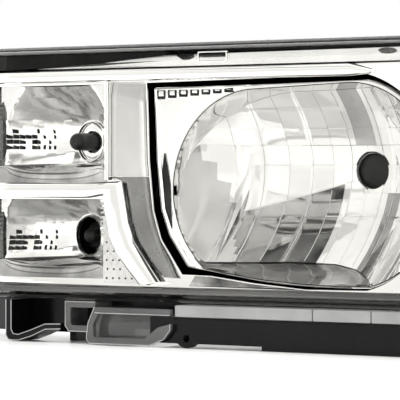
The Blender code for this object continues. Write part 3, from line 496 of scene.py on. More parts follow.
def bowl_depth(x, z, column=0, row=5):
    """The plain paraboloid, with the rows below the cut-off set back a little."""
    square = (x - AXIS[0]) ** 2 + (z - AXIS[1]) ** 2
    step = (-1.3, -1.0, 0, 0.5, 0, 0.4, 0.2)[row]
    return max(VERTEX_Y - square / (4 * FOCAL) + step - 0.35 * (column % 2), LIP_Y + 1.2)


def bowl_edges():
    """Column limits: close together at the rounded ends, then evenly spaced."""
    edges = [-8.95, -8.0]
    x = FIRST_COLUMN
    while x < 190:
        edges.append(x)
        x += COLUMN_PITCH
    return edges + [192, 196.3, 198.3, 198.95]


def painted(thing, materials, choose):
    """Give each face of a piece one of the materials, by where its middle lies (x, z in millimetres)."""
    thing.data.materials.clear()
    for material in materials:
        thing.data.materials.append(material)
    for polygon in thing.data.polygons:
        polygon.material_index = choose(polygon.center.x / MM, polygon.center.z / MM)


# Each face of the bowl takes one of these chrome tones by where it lies: painted reflections.
BOWL_REFLECTION_TONES = (FACET, BOWL_SMOOTH, BOWL_PALE_REFLECTION, BOWL_GREY_REFLECTION)
SHARP, SMOOTH, PALE, MID = range(4)
SMOOTH_EDGE = [(55, 27), (82, 15.5), (96, 15.2), (113, 8), (136, -2), (150, -12)]


def low_reflection_tone(x):
    """Painted reflection tone of the bowl below its ridge, column by column."""
    if x < 70:
        return MID
    if x < 105:
        return PALE
    return MID if x < 118 else SHARP


def high_reflection_tone(x, z):
    """Painted reflection tone of the bowl above its ridge: pale, and greyer in the columns above the bulb."""
    if 79 < x < 95 and z > 137.8:
        return SMOOTH
    return PALE if x < 106 else SHARP


def bowl_reflection_tone(x, z):
    """Painted reflection tone of the bowl at a place, as an index into the bowl's tones."""
    if x < along(SMOOTH_EDGE, z):
        return SMOOTH
    return low_reflection_tone(x) if z < ridge(x) else high_reflection_tone(x, z)


def row_at(x, z):
    """The row of facets that a place lies in."""
    levels = bowl_levels(x)
    return max(row for row in range(len(levels) - 1) if row == 0 or z >= levels[row])


def bowl_line(name, places, radius, material):
    """A fine raised bead on the bowl through places (x, z) in millimetres; the beads are painted highlights
    and painted shade lines.
    """
    points = [plain_mm(x, bowl_depth(x, z, 0, row_at(x, z)) - 0.15, z) for x, z in places]
    on_reflector(tube_along(name, points, radius * MM, material, False, 6))


def make_bowl_lines():
    """The fine lines where the columns and rows of the bowl meet: pale beads as painted highlights, thin grey
    beads as painted shade lines.
    """
    hole_top, hole_low = AXIS[1] + BULB_HOLE + 1, AXIS[1] - BULB_HOLE - 1
    for index in range(1, 14):
        x = FIRST_COLUMN + COLUMN_PITCH * index
        low, high, middle = bowl_bottom(x) + 1, bowl_top(x) - 1, ridge(x)
        if abs(x - AXIS[0]) < BULB_HOLE:
            middle = hole_low
        bowl_line("column_line_low_%d" % index, [(x, z) for z in spread(low, middle, 24)], 0.3, HIGHLIGHT_LINE)
        if abs(x - AXIS[0]) < BULB_HOLE:
            middle = hole_top
        bowl_line("column_line_high_%d" % index, [(x, z) for z in spread(middle, high, 24)], 0.16, SHADE_LINE)
    bowl_line("ridge_line", [(x, ridge(x) + 0.3) for x in spread(16.5, 75, 30)], 0.55, HIGHLIGHT_LINE)
    bowl_line("row_line_low", [(x, 88) for x in spread(62, 98, 16)], 0.45, HIGHLIGHT_LINE)
    rows = (("upper", 149.5, 40, 82), ("middle", 137.8, 45, 112), ("lower", 124, 20, 70))
    for name, z, x_low, x_high in rows:
        bowl_line("row_line_" + name, [(x, z) for x in spread(x_low, x_high, 20)], 0.16, SHADE_LINE)


def make_bowl():
    """The faceted chrome bowl with its bulb hole, its faces given chrome, grey and pale tones as painted
    reflections.
    """
    lines = faceted(bowl_edges(), bowl_levels, bowl_depth, (0.07, 0.04), 0.005, 6)
    bowl = slab("main_bowl", in_metres(lines), 1.6 * MM, FACET, 25)
    hole = [(BULB_HOLE, 0), (BULB_HOLE, 70)]
    cut(bowl, turned("bulb_hole_cutter", hole, AXIS, FACET, 64))
    painted(bowl, BOWL_REFLECTION_TONES, bowl_reflection_tone)
    on_reflector(bowl, "main_reflector")


def mouth_pairs():
    """Matching points of the bowl's edge and the mouth's lip all the way round: ((x, y, z), (x, z))."""
    xs = [x for line in (steps_between(a, b, 6, 0.12) for a, b in zip(bowl_edges(), bowl_edges()[1:]))
          for x, _ in line]
    below = [((x, bowl_depth(x, bowl_bottom(x)), bowl_bottom(x)), (x, lip_bottom(x))) for x in xs]
    above = [((x, bowl_depth(x, bowl_top(x)), bowl_top(x)), (x, bowl_top(x))) for x in reversed(xs)]
    return below + above


def make_mouth():
    """The wall between the bowl's edge and the lip: a sloping ledge below, in a darker chrome as painted
    shade, level shelves elsewhere.
    """
    rings = []
    for (x, y, z), (lip_x, lip_z) in mouth_pairs():
        out_x, out_z = lip_x - 92, lip_z - 112
        length = math.hypot(out_x, out_z)
        out_x, out_z = out_x / length, out_z / length
        y = max(y, LIP_Y + 1.2)
        inner = []
        for share in spread(0, 1, 4):
            sag = math.sin(math.pi * share) * min(1.4, abs(z - lip_z) * 0.25)
            inner.append((x + (lip_x - x) * share, y + (LIP_Y - y) * share, z + (lip_z - z) * share - sag))
        outer = [(px + out_x * 1.2, py, pz + out_z * 1.2) for px, py, pz in reversed(inner)]
        rings.append([tuple(v * MM for v in point) for point in inner + outer])
    wall = loft("main_mouth_wall", rings, FACET, False, 30)
    # The lower ledge faces take the darker chrome: painted shade.
    painted(wall, (FACET, SHADED_SHELF), lambda x, z: 1 if z < 62 and 8 < x < 136 else 0)
    on_reflector(wall)


FLANGE_LEFT = [(103, 42.4), (60, 45.6), (38.8, 48.4), (3, 53.6), (-12.6, 75), (-19.6, 93), (-23.3, 127),
               (-25.2, 177.4)]


def flange_outline():
    """Outline of the reflector's front flange, in millimetres, from its lower left round the inner end."""
    return FLANGE_LEFT[::-1] + arc((133, 112), 70, -76, 76, 40)


def reach(outline, centre, angle):
    """Distance from centre to an outline in the direction of angle."""
    ux, uz = math.cos(angle), math.sin(angle)
    best = 0.0
    for (x0, z0), (x1, z1) in zip(outline, outline[1:] + outline[:1]):
        ex, ez = x1 - x0, z1 - z0
        turn = ux * ez - uz * ex
        if abs(turn) < 1e-9:
            continue
        sx, sz = x0 - centre[0], z0 - centre[1]
        distance = (sx * ez - sz * ex) / turn
        share = (sx * uz - sz * ux) / turn
        if distance > 0 and -1e-6 <= share <= 1 + 1e-6:
            best = max(best, distance)
    return best


def mouth_outline():
    """The lip of the mouth as points in millimetres."""
    return [lip for _, lip in mouth_pairs()]


def make_flange():
    """The flange round the mouth, with a raised rim and a hollowed face."""
    centre = (70, 112)
    outer, inner = flange_outline(), mouth_outline()
    count = 220
    rings = []
    for i in range(count):
        angle = 2 * math.pi * i / count
        far, near = reach(outer, centre, angle) - 0.7, reach(inner, centre, angle)
        far = max(far, near + 1.0)
        wide = far - near
        rim = min(3.2, wide * 0.4)
        hollow = min(2.4, wide * 0.07)
        profile = [(near, LIP_Y), (near + wide * 0.3, LIP_Y + hollow * 0.7),
                   (near + wide * 0.6, LIP_Y + hollow), (far - rim, LIP_Y + hollow * 0.8),
                   (far - rim, LIP_Y - 0.6), (far - rim * 0.5, LIP_Y - 1.2),
                   (far, LIP_Y - 0.6), (far, LIP_Y + 4), (near, LIP_Y + 4)]
        rings.append([((centre[0] + r * math.cos(angle)) * MM, y * MM, (centre[1] + r * math.sin(angle)) * MM)
                      for r, y in profile])
    flange = loft("main_flange", rings, FLANGE, False, 30)
    on_reflector(flange)


def make_optic_strip():
    """The small optic strip in the flange's upper left corner: dark pockets as painted shade round the
    pillows, each with a bright pillow.
    """
    base = [(-23.6, 168.6), (38, 172.6), (48, 177.4), (-23.6, 177.4)]
    on_reflector(filled_plate("main_optic_strip", [base], LIP_Y - 0.5, LIP_Y + 2, 0.2, FACET))
    for index in range(7):
        x, low = -22.6 + 9.4 * index, 169.2 + 0.62 * index
        pocket = rounded_rectangle(x, x + 7.2, low, STRIP_TOP, 0.6, 3)
        on_reflector(filled_plate("optic_painted_shade_pocket_%d" % index, [pocket], LIP_Y - 0.8, LIP_Y, 0.1, PAINTED_DARK))
        middle, half = (low + STRIP_TOP) / 2, (STRIP_TOP - low) / 2 - 1.5
        pairs = [((x + 2.4, middle + half), (x + 2.4, middle - half)),
                 ((x + 6.4, middle + half), (x + 6.4, middle - half))]
        pillow = rounded_bar("optic_pillow_%d" % index, pairs, LIP_Y - 1.4, LIP_Y - 0.6, CHROME, 0.9, 0.4)
        on_reflector(pillow)


def make_flange_streak():
    """A dark tapered plate beside the mouth on the flange's outer side: painted shade."""
    outline = [(-16.8, 132), (-19.4, 113), (-18.4, 99), (-15.2, 88), (-10.2, 76), (-11, 92), (-11.6, 110),
               (-14.2, 122)]
    on_reflector(filled_plate("flange_painted_shade_streak", [outline], LIP_Y - 0.2, LIP_Y + 2.5, 0.1, PAINTED_DARK))


def make_bulb_seat():
    """The dark tube behind the bulb hole and the shield that closes it."""
    profile = [(12.7, 33.2), (13.6, 33.2), (22, 37), (22, 47), (20, 47), (20, 38.5), (12.7, 38)]
    seat = turned_ring("bulb_seat", profile, AXIS, COATED, 64)
    on_reflector(seat)
    profile = [(0.6, 34.6), (6, 34.8), (11.6, 35.4), (12.3, 36), (12.3, 37)]
    face = turned("bulb_shield", profile, AXIS, COATED, 64, 60)
    on_reflector(face)


def tube_along(name, points, radius, material, closed=False, steps=8):
    """A thin bead along points in metres that lie in planes facing the front."""
    count = len(points)
    rings = []
    for i, point in enumerate(points):
        before = points[(i - 1) % count] if closed or i else point
        after = points[(i + 1) % count] if closed or i < count - 1 else point
        heading = (Vector(after) - Vector(before)).normalized()
        side = heading.cross(Vector((0, 1, 0))).normalized()
        up = side.cross(heading)
        turns = [2 * math.pi * k / steps for k in range(steps)]
        rings.append([tuple(Vector(point) + side * radius * math.cos(a) + up * radius * math.sin(a))
                      for a in turns])
    return loft(name, rings, material, not closed, 60)


def make_mouth_line():
    """A thin black bead along the gap between the bowl and its flange: painted shade in the gap."""
    points = [plain_mm(x, LIP_Y - 0.1, z) for x, z in mouth_outline()]
    joint = tube_along("mouth_gap_shade", points, 0.32 * MM, BLACK_GLOSS, True)
    on_reflector(joint)


# ---- small reflectors


def ledge_rear(shape, x):
    """Height of the rear edge of a small chamber's ledge; it arches slightly and falls at the inner end."""
    x_low, x_high, z_front, z_rear, _ = shape["chamber"]
    share = max(0.0, (x - (x_high - 16)) / 16)
    fall = (z_rear - z_front - 1.5) * (1 - math.sqrt(max(0.0, 1 - share * share)))
    return z_rear + 1.6 * math.sin(math.pi * (x - x_low) / (x_high - x_low)) - fall


def small_depth(shape, x, z):
    """The plain shape of a small bowl: deep at its bulb, forward at its ends."""
    cx, cz = shape["centre"]
    square = ((x - cx) * 0.96) ** 2 + ((z - cz) * 0.9) ** 2
    return max(SMALL_HOLE_Y - (square - 150) / SMALL_CURVE, BEZEL_Y + 3.2)


def make_small_bowl(name, shape, slot_name, node_name):
    """A small reflector: fluted at its inner end, squared towards the outer side, with an oval hole."""
    cx, cz = shape["centre"]
    x_low, x_high, _, _, z_high = shape["chamber"]
    split = cx - 14

    def depth(x, z, column, row):
        return small_depth(shape, x, z)

    def levels(x):
        return spread(ledge_rear(shape, x), z_high, 7 if x < split else 1)

    outer = faceted(spread(x_low, split, 7), levels, depth, (0.03, 0.05), 0.003, 4, 0.06)
    inner = faceted(spread(split, x_high, 14), levels, depth, (0.1, 0.0), 0.0, 5, 0.04)
    for part, lines in (("outer", outer), ("inner", refined(inner, shape))):
        bowl = slab(name + "_bowl_" + part, in_metres(lines, plain_mm), 1.5 * MM, SOFT, 25)
        if part == "inner":
            angles = [2 * math.pi * i / 48 for i in range(48)]
            rim = [(cx + SMALL_HOLE[0] * math.cos(a), cz + SMALL_HOLE[1] * math.sin(a)) for a in angles]
            rings = [[(x * MM, y, z * MM) for x, z in rim] for y in (-0.06, 0.0)]
            cut(bowl, loft(name + "_hole_cutter", rings, FACET))
        on_lamp(bowl, slot_name, node_name)


def refined(lines, shape):
    """Each flute line resampled in 24 steps from its lower to its upper end, keeping its flute height."""
    made = []
    for line in lines:
        (x, y, z_low), z_high = line[0], line[-1][2]
        lift = y - small_depth(shape, x, z_low)
        made.append([(x, small_depth(shape, x, z) + lift, z) for z in spread(z_low, z_high, 24)])
    return made


def make_small_ledge(name, shape, slot_name):
    """The curved floor in front of a small bowl, which slopes down to the mask."""
    x_low, x_high, z_front, _, _ = shape["chamber"]
    rings = []
    for x in spread(x_low, x_high - 0.2, 60):
        rear = ledge_rear(shape, x)
        y_rear = small_depth(shape, x, rear)
        line = []
        for share in spread(0, 1, 10):
            rise = 1 - (1 - share) ** 4
            y = BEZEL_Y - 0.3 + (y_rear - BEZEL_Y + 0.3) * share ** 1.4
            line.append(plain_mm(x, y, z_front + (rear - z_front) * rise))
        rings.append(line + [(a, b, c - 1.2 * MM) for a, b, c in reversed(line)])
    on_lamp(loft(name + "_ledge", rings, LEDGE, True, 40), slot_name)


def make_hole_ring(name, shape, slot_name):
    """The bright rolled edge round a small bulb's hole."""
    a = SMALL_HOLE[0]
    profile = [(a - 0.2, -27), (a - 0.3, -29.4), (a + 0.5, -30.2), (a + 1.3, -29.6), (a + 1.5, -27)]
    oval = SMALL_HOLE[1] / SMALL_HOLE[0]
    ring = turned_ring(name + "_hole_ring", profile, shape["centre"], CHROME, 48, oval, 60)
    on_lamp(ring, slot_name)


def make_painted_reflection_dashes(name, shape, slot_name):
    """Small dark dashes on the outer part of a small bowl, in four rows: painted dark reflections of its
    facets.
    """
    points, faces = [], []
    for row in range(4):
        for column in range(9):
            if shade_of(column, row, 5) > 0.5 + 0.1 * (4 - column):
                continue
            x, z = -154.5 + 2.5 * column, shape["marks"] - 7.5 + 3.8 * row
            wide = 2.3 if column < 5 else 1.1
            corners = [(x, z), (x + wide, z), (x + wide, z + 2.7 + 0.8 * shade_of(row, column)), (x, z + 3.1)]
            start = len(points)
            for lift in (-0.3, 0.5):
                points += [plain_mm(a, small_depth(shape, a, b) + lift, b) for a, b in corners]
            faces += [tuple(start + i for i in (0, 1, 2, 3)), tuple(start + i for i in (7, 6, 5, 4))]
            for i in range(4):
                j = (i + 1) % 4
                faces.append((start + i, start + j, start + 4 + j, start + 4 + i))
    on_lamp(solid(name + "_grid_marks", points, faces, PAINTED_DARK), slot_name)


def make_small_bulbs():
    """The capsule bulb of the upper chamber with its bright collar, and the recessed lower bulb."""
    turns = [math.radians(a) for a in spread(4, 90, 9)]
    profile = [(6.3 * math.sin(a), -44.0 - 6.3 * math.cos(a)) for a in turns]
    profile += [(6.3, -27), (5.4, -24.5), (5.4, -19.4)]
    bulb = turned("turn_bulb_capsule", profile, TURN["centre"], COATED, 40, 60)
    fit(bulb, "turn_holder", "turn_bulb_coated_glass", "turn_bulb")
    profile = [(0.75, -31.5), (3, -30.9), (4.5, -29.0), (5, -26.5), (5, -19.4)]
    bulb = turned("position_bulb_capsule", profile, POSITION["centre"], COATED, 32, 60)
    fit(bulb, "position_holder", "position_bulb_bulb_glass", "position_bulb")
    a = SMALL_HOLE[0]
    profile = [(6.7, -26.5), (6.7, -28.0), (8.6, -28.6), (a - 0.4, -27.6), (a - 0.4, -26.5)]
    oval = SMALL_HOLE[1] / SMALL_HOLE[0]
    collar = turned_ring("turn_collar", profile, TURN["centre"], CHROME, 48, oval, 50)
    on_lamp(collar, "turn_reflector_chrome")
    slot = rounded_rectangle(-87.6, -84.2, 134, 152, 0.8, 4)
    on_lamp(filled_plate("turn_side_slot", [slot], -37.6, -35.6, 0.2, BLACK_GLOSS), "turn_reflector_chrome")


# ---- mask and trims


def filled_plate(name, outlines, y_front, y_back, edge, material):
    """A plate (x, z in millimetres) with holes, its edges rolled by edge."""
    curve = bpy.data.curves.new(name, "CURVE")
    curve.dimensions = "2D"
    curve.fill_mode = "BOTH"
    for outline in outlines:
        spline = curve.splines.new("POLY")
        spline.points.add(len(outline) - 1)
        for point, (x, z) in zip(spline.points, outline):
            point.co = (x * MM, z * MM, 0, 1)
        spline.use_cyclic_u = True
    curve.extrude = abs(y_back - y_front) * MM / 2 - edge * MM
    curve.bevel_depth = edge * MM
    curve.bevel_resolution = 2
    curve.offset = -edge * MM
    made = bpy.data.objects.new(name + "_curve", curve)
    bpy.context.scene.collection.objects.link(made)
    graph = bpy.context.evaluated_depsgraph_get()
    mesh = bpy.data.meshes.new_from_object(made.evaluated_get(graph))
    bpy.data.objects.remove(made, do_unlink=True)
    shape = bmesh.new()
    shape.from_mesh(mesh)
    bmesh.ops.remove_doubles(shape, verts=shape.verts, dist=1e-6)
    for x in spread(-140, -212, 12):
        everything = shape.verts[:] + shape.edges[:] + shape.faces[:]
        bmesh.ops.bisect_plane(shape, geom=everything, plane_co=(x * MM, 0, 0), plane_no=(1, 0, 0))
    middle = (y_front + y_back) / 2 * MM
    for vertex in shape.verts:
        vertex.co = swept(vertex.co.x, middle - vertex.co.z, vertex.co.y)
    bmesh.ops.recalc_face_normals(shape, faces=shape.faces)
    shape.to_mesh(mesh)
    shape.free()
    mesh.materials.clear()
    mesh.materials.append(material)
    mesh.shade_smooth()
    mesh.set_sharp_from_angle(angle=math.radians(40))
    plate = bpy.data.objects.new(name, mesh)
    bpy.context.scene.collection.objects.link(plate)
    return plate


def rounded_rectangle(x_low, x_high, z_low, z_high, radius, count=6):
    """A rounded rectangle (x, z), anticlockwise."""
    points = []
    for x, z, start in ((x_high - radius, z_low + radius, -90), (x_high - radius, z_high - radius, 0),
                        (x_low + radius, z_high - radius, 90), (x_low + radius, z_low + radius, 180)):
        points += arc((x, z), radius, start, start + 90, count)
    return points


OPENING_LEFT = [(103, 40.9), (60, 44.4), (39, 47), (26, 48.6), (2, 49), (-15.5, 73), (-22, 92.5),
                (-25.7, 127), (-27.5, 180.4)]


def make_bezel():
    """The chrome mask with its three openings and rolled edges."""
    outer = rounded_rectangle(-218, 214, 36.4, 190.6, 4)
    main = OPENING_LEFT[::-1] + arc((133, 112), 73, -76, 76, 40)
    chambers = [rounded_rectangle(-214, x_high, z_front, z_high, 3)
                for _, x_high, z_front, _, z_high in (TURN["chamber"], POSITION["chamber"])]
    plate = filled_plate("mask", [outer, main, *chambers], BEZEL_Y, BEZEL_Y + 2.5, 0.7, CHROME)
    on_lamp(plate, "bezel_chrome", "bezel")
    # A thin dark sliver along the main opening's lower edge: painted shade.
    shelf = [(8.6, 41.2), (120, 40.1), (103, 40.4), (60, 43.7), (39, 46.3), (26, 47.9), (13.4, 48.2)]
    on_lamp(filled_plate("mask_painted_shade_strip", [shelf], BEZEL_Y - 0.5, BEZEL_Y + 0.4, 0.1, SHADED_SHELF), "bezel_chrome")


def rounded_bar(name, edge_pairs, y_front, y_back, material, rounding=1.2, crown=0.8):
    """A bar whose two edges run through pairs of (x, z) in millimetres, with rounded front corners."""
    rings = []
    for (x0, z0), (x1, z1) in edge_pairs:
        length = math.hypot(x1 - x0, z1 - z0)
        ux, uz = (x1 - x0) / length, (z1 - z0) / length
        ring = []
        for share in spread(0, 1, 8):
            edge = min(share, 1 - share) * length
            drop = 0.0
            if edge < rounding:
                drop = rounding - math.sqrt(rounding ** 2 - (rounding - edge) ** 2)
            lift = crown * 4 * share * (1 - share)
            ring.append(swept_mm(x0 + ux * share * length, y_front + drop - lift, z0 + uz * share * length))
        ring += [swept_mm(x1, y_back, z1), swept_mm(x0, y_back, z0)]
        rings.append(ring)
    return loft(name, rings, material, True, 40)


def sweep_stations(x_low, x_high, fine=14):
    """X values close together where the trims sweep back."""
    return spread(x_low, SWEEP_START / MM, fine) + [x_high]


def make_blades():
    """The raised bright bars: the top blade, the divider with its chevron, and the panel's edge."""
    pairs = [((x, 190.4), (x, 181.9)) for x in sweep_stations(-216, 140)] + [((158, 186), (156, 183.2))]
    bar = rounded_bar("top_bar", pairs, -79, BAR_FOOT_Y, CHROME)
    on_lamp(bar, "top_blade_chrome", "top_blade")
    pairs = [((x, 111.6), (x, 101)) for x in sweep_stations(-216, -75)]
    pairs += [((-44, 112.8), (-59.8, 103)), ((-41, 98), (-57.5, 88)), ((-38.4, 84), (-54.5, 74)),
              ((-33, 70.8), (-48.5, 63)), ((-22.8, 57.8), (-39, 52)), ((-11.4, 44), (-28.5, 41.5))]
    bar = rounded_bar("divider_bar", pairs, -81, BAR_FOOT_Y, CHROME, 1.2, 0.6)
    on_lamp(bar, "divider_blade_chrome", "divider_blade")
    pairs = [((-58.8, z), (-55, z)) for z in (113.6, 150, 181.5)]
    bar = rounded_bar("panel_bar", pairs, -80, BAR_FOOT_Y, CHROME, 0.8, 0.2)
    on_lamp(bar, "panel_edge_chrome", "panel_edge")


PANEL_SIDES = [(181.5, -54.7, -28.2), (127, -54.7, -26.4), (114.2, -54.7, -25), (113.4, -42.6, -24.9),
               (98, -39.2, -22.8), (84, -36.8, -19.8), (70.8, -31.4, -14.6), (57.8, -21.2, -7),
               (47, -10.2, -1)]


def panel_side(z, side):
    """X of the satin panel's left (1) or right (2) side at z."""
    for above, below in zip(PANEL_SIDES, PANEL_SIDES[1:]):
        if z >= below[0]:
            share = (above[0] - z) / (above[0] - below[0])
            return above[side] + (below[side] - above[side]) * share
    return PANEL_SIDES[-1][side]


def make_centre_panel():
    """The satin panel: a pale upper part whose head leans back, and a part beside the chevron, darker as
    painted shade.
    """
    for name, z_high, z_low, material in (("upper", 181.5, 116.2, SATIN), ("lower", 115.8, 47, SATIN_SHADED)):
        lines = []
        for z in spread(z_high, z_low, 34):
            left, right = panel_side(z, 1), panel_side(z, 2)
            line = []
            for share in spread(0, 1, 12):
                x = left + (right - left) * share
                lean = max(0.0, z - 166 - 6 * (1 - share)) * 0.24
                curl = 1.2 * abs(2 * share - 1) ** 6
                line.append((x, -77.6 + 0.9 * math.sin(math.pi * share) * 0.5 + lean + curl, z))
            lines.append(line)
        panel = slab("centre_panel_" + name, in_metres(lines), 2.6 * MM, material, 50)
        on_lamp(panel, "centre_panel_satin_silver", "centre_panel")


def make_dimple_panel():
    """The small chrome panel inside the chevron, its dots and the row of short ribs above it."""
    right = [(42, -30.2), (52, -40.8), (63, -50.2), (74, -56), (88, -58.6)]
    lines = []
    for z in spread(42, 88, 30):
        lines.append([(x, -76.2 + 0.06 * math.sin(x * 1.1) * math.sin(z * 0.9), z)
                      for x in spread(-62.4, along(right, z), 16)])
    panel = slab("dimpled_plate", in_metres(lines), 2.4 * MM, SATIN, 50)
    on_lamp(panel, "dimple_panel_chrome", "dimple_panel")
    for i in range(5):
        for j in range(5):
            x, z = -59.4 + 5.4 * i + 0.8 * (j % 2), 45.6 + 6.2 * j
            if x > along(right, z) - 2.2:
                continue
            profile = [(0.25, -76.75), (0.62, -76.5), (0.75, -75.6)]
            dot = turned("plate_dot_%d_%d" % (i, j), profile, (x, z), BLACK_GLOSS, 12, 60)
            on_lamp(dot, "dimple_panel_chrome")
    for index in range(8):
        z = 75.5 + 3.1 * index
        pairs = [((-65.5, z + 0.9), (-65.5, z - 0.9)), ((-60.2, z + 0.9), (-60.2, z - 0.9))]
        rib = rounded_bar("short_rib_%d" % index, pairs, -74.6, -73.4, SATIN, 0.5, 0.3)
        on_lamp(rib, "dimple_panel_chrome")


def make_lens_bands():
    """The black band above the shade, where the dark housing shows in the gap behind the lens's top edge,
    partly its own black and partly painted shade, and the half-round strip along the bottom of the lens,
    darkened as painted shade.
    """
    pairs = [((x, 204), (x, 201.8)) for x in sweep_stations(-212, -40)] + [((40, 203.9), (40, 203.2))]
    on_lamp(rounded_bar("upper_painted_shade_band", pairs, -83, -74, BLACK_GLOSS, 0.6, 0.2), "upper_shade_black_plastic")
    rings = []
    for x in sweep_stations(-212, 206):
        ring = [swept_mm(x, -80 - 3.6 * math.sin(a), 37 + 3.5 * math.cos(a))
                for a in (math.pi * share for share in spread(0, 1, 14))]
        rings.append(ring)
    # The strip is darkened satin: painted shade.
    strip = loft("lower_roll", rings, SHADED_ROLL, True, 60)
    on_lamp(strip, "lower_inner_strip_satin_silver", "lower_inner_strip")


def make_upper_details():
    """Small dark clip, framed slot and oval in the strip above the mask."""
    clip = [(x, 199.3 + (z - 199.3) * 0.55) for x, z in arc((9.3, 199.3), 6.2, 180, 360, 14)]
    slot = rounded_rectangle(21.5, 43, 197.7, 199, 0.4, 3)
    frame_line = rounded_rectangle(20.3, 44.2, 193.2, 200.6, 0.8, 3)
    window = rounded_rectangle(21.2, 43.3, 194.1, 199.7, 0.5, 3)
    oval = [(x, 197.9 + (z - 197.9) * 0.26) for x, z in arc((170, 197.9), 6.5, 0, 352, 40)]
    for name, outlines, y_front, y_back, edge, material in (
            ("clip", [clip], -80.4, -77.2, 0.2, BLACK_GLOSS),
            ("slot", [slot], -80.2, -77.4, 0.15, BLACK_GLOSS),
            ("frame", [frame_line, window], -80.0, -77.4, 0.15, CHROME),
            ("oval", [oval], -80.2, -77.4, 0.15, TRIM)):
        plate = filled_plate("strip_" + name, outlines, y_front, y_back, edge, material)
        on_lamp(plate, "upper_strip_chrome")


def make_trims():
    """Two dark ribbed barrels at the outer ends of the small chambers."""
    for name, z_low, z_high in (("upper", 112.8, 179.7), ("lower", 46.5, 99.7)):
        middle, half = (z_low + z_high) / 2, (z_high - z_low) / 2
        lines = []
        for z in spread(z_low, z_high, 110):
            bulge = 1 - ((z - middle) / half) ** 2
            rib = 0.35 * abs(math.sin(math.pi * (z - z_low) / 3.2))
            edge = -158.2 + 4.4 * bulge
            lines.append([(x, -67.6 - 7 * bulge - rib, z) for x in spread(-213.3, edge, 26)])
        trim = slab("trim_barrel_" + name, in_metres(lines), 4 * MM, TRIM, 70)
        on_lamp(trim, "outer_trim_" + name + "_dark_trim", "outer_trim_" + name)


# ---- below the lens


def make_clip_edges():
    """Pale beads along the front edges of the smoked clips and the bracket as painted edge highlights, and
    the inner clip's web.
    """
    inner_y, outer_y = -94.15, -86.1
    inner, outer, gusset = "inner_clip_smoked_clip", "outer_clip_smoked_clip", "gusset_bracket_black_plastic"
    routes = (
        ("inner_clip", inner, inner_y, [(-56.5, 26), (-62, 15), (-63.5, 4), (-61, 1), (-10, 1), (2, 5.5),
                                        (7.4, 12), (7.4, 16)]),
        ("inner_clip_shelf", inner, inner_y, [(-56.2, 22.2), (-50, 22), (7.2, 22)]),
        ("outer_clip", outer, outer_y, [(-62, 29), (-88, 29), (-88, 12), (-85, 8.4), (-66, 8.4)]),
        ("gusset", gusset, outer_y, [(-141, 29), (-141, 4), (-139, 1), (-135, 0.5), (-130, 0.6), (-118, 4),
                                     (-106, 9), (-92.5, 9.6)]),
        ("gusset_inner", gusset, outer_y, [(-136.4, 29), (-136.4, 8), (-134.5, 5), (-130, 4.6), (-119, 8),
                                           (-106, 12.6), (-92.5, 13)]),
    )
    for name, slot_name, y, route in routes:
        points = [plain_mm(x, y, z) for x, z in route]
        on_lamp(tube_along(name + "_edge", points, 0.36 * MM, EDGE), slot_name)
    web = [(-57, 25), (-61.6, 15), (-62.9, 4.4), (-60.6, 2), (-11, 2), (1.2, 6.2), (6.6, 12.4), (6.6, 22),
           (-20, 25)]
    on_lamp(filled_plate("inner_clip_web", [web], -86.6, -85.4, 0.2, SMOKED), inner)


def make_housing_lines():
    """Two ledges moulded on the housing's lower wall."""
    for name, x_low, z, y, height in (("upper", 8, 18.9, -90.6, 0.9), ("middle", 76, 9.2, -87.6, 0.7)):
        pairs = [((x, z + height), (x, z)) for x in spread(x_low, 213.6, 4)]
        ledge = rounded_bar("housing_ledge_" + name, pairs, y, -84, BLACK_GLOSS, 0.3, 0.1)
        on_lamp(ledge, "housing_black_plastic")


# ---- lens


def lens_ring(y, inset, corner=14):
    """One ring of the lens at a depth and an inset from its skirt, in millimetres."""
    radius = 9 - 0.2 * inset if inset < 9 else 9
    x0, x1, z0, z1 = -231 + inset, 231 - inset, 29.5 + inset, 207.5 - inset
    points = []
    for index, (x, z, start) in enumerate(((x1 - radius, z0 + radius, -90), (x1 - radius, z1 - radius, 0),
                                           (x0 + radius, z1 - radius, 90), (x0 + radius, z0 + radius, 180))):
        points += arc((x, z), radius, start, start + 90, corner)
        stations = spread(x0 + radius, SWEEP_START / MM, 18)[1:] + [x1 - 30]
        if index == 1:
            points += [(s, z1) for s in reversed(stations)]
        if index == 3:
            points += [(s, z0) for s in stations]
    return [swept_mm(x, y, z) for x, z in points]


def make_lens():
    """The clear cover: a smooth tray with a rolled edge and an open back."""
    outside = [(-66.6, 0), (-80, 0.4), (-88, 0.8), (-92, 2), (-95, 3.6), (-97.6, 6), (-99.6, 9.3),
               (-101, 14), (-102, 21), (-102.7, 32), (-103, 45)]
    inside = [(-100.4, 45), (-100.1, 32.2), (-99.4, 22), (-98.3, 15.6), (-96.9, 11.2), (-94.9, 8.2),
              (-92.6, 6.2), (-89.4, 4.8), (-86, 3.6), (-80, 3.2), (-66.6, 2.8)]
    rings = [lens_ring(y, inset) for y, inset in outside]
    inner = [lens_ring(y, inset) for y, inset in inside]
    count = len(rings[0])
    corner_points = 15
    points = [p for ring in rings + inner for p in ring]
    faces = []
    total = len(rings) + len(inner)
    for level in range(total):
        if level == len(rings) - 1:
            continue
        near, far = level * count, (level + 1) % total * count
        for i in range(count):
            j = (i + 1) % count
            faces.append((near + i, near + j, far + j, far + i))
    for start in ((len(rings) - 1) * count, len(rings) * count):
        upper = [start + corner_points + i for i in range(count // 2)]
        lower = [start + (corner_points - 1 - i) % count for i in range(count // 2)]
        for i in range(count // 2 - 1):
            faces.append((upper[i], upper[i + 1], lower[i + 1], lower[i]))
    lens = solid("clear_cover", points, faces, CLEAR, 50)
    on_lamp(lens, "front_lens_clear_lens", "front_lens")


# ---- carried-over parts


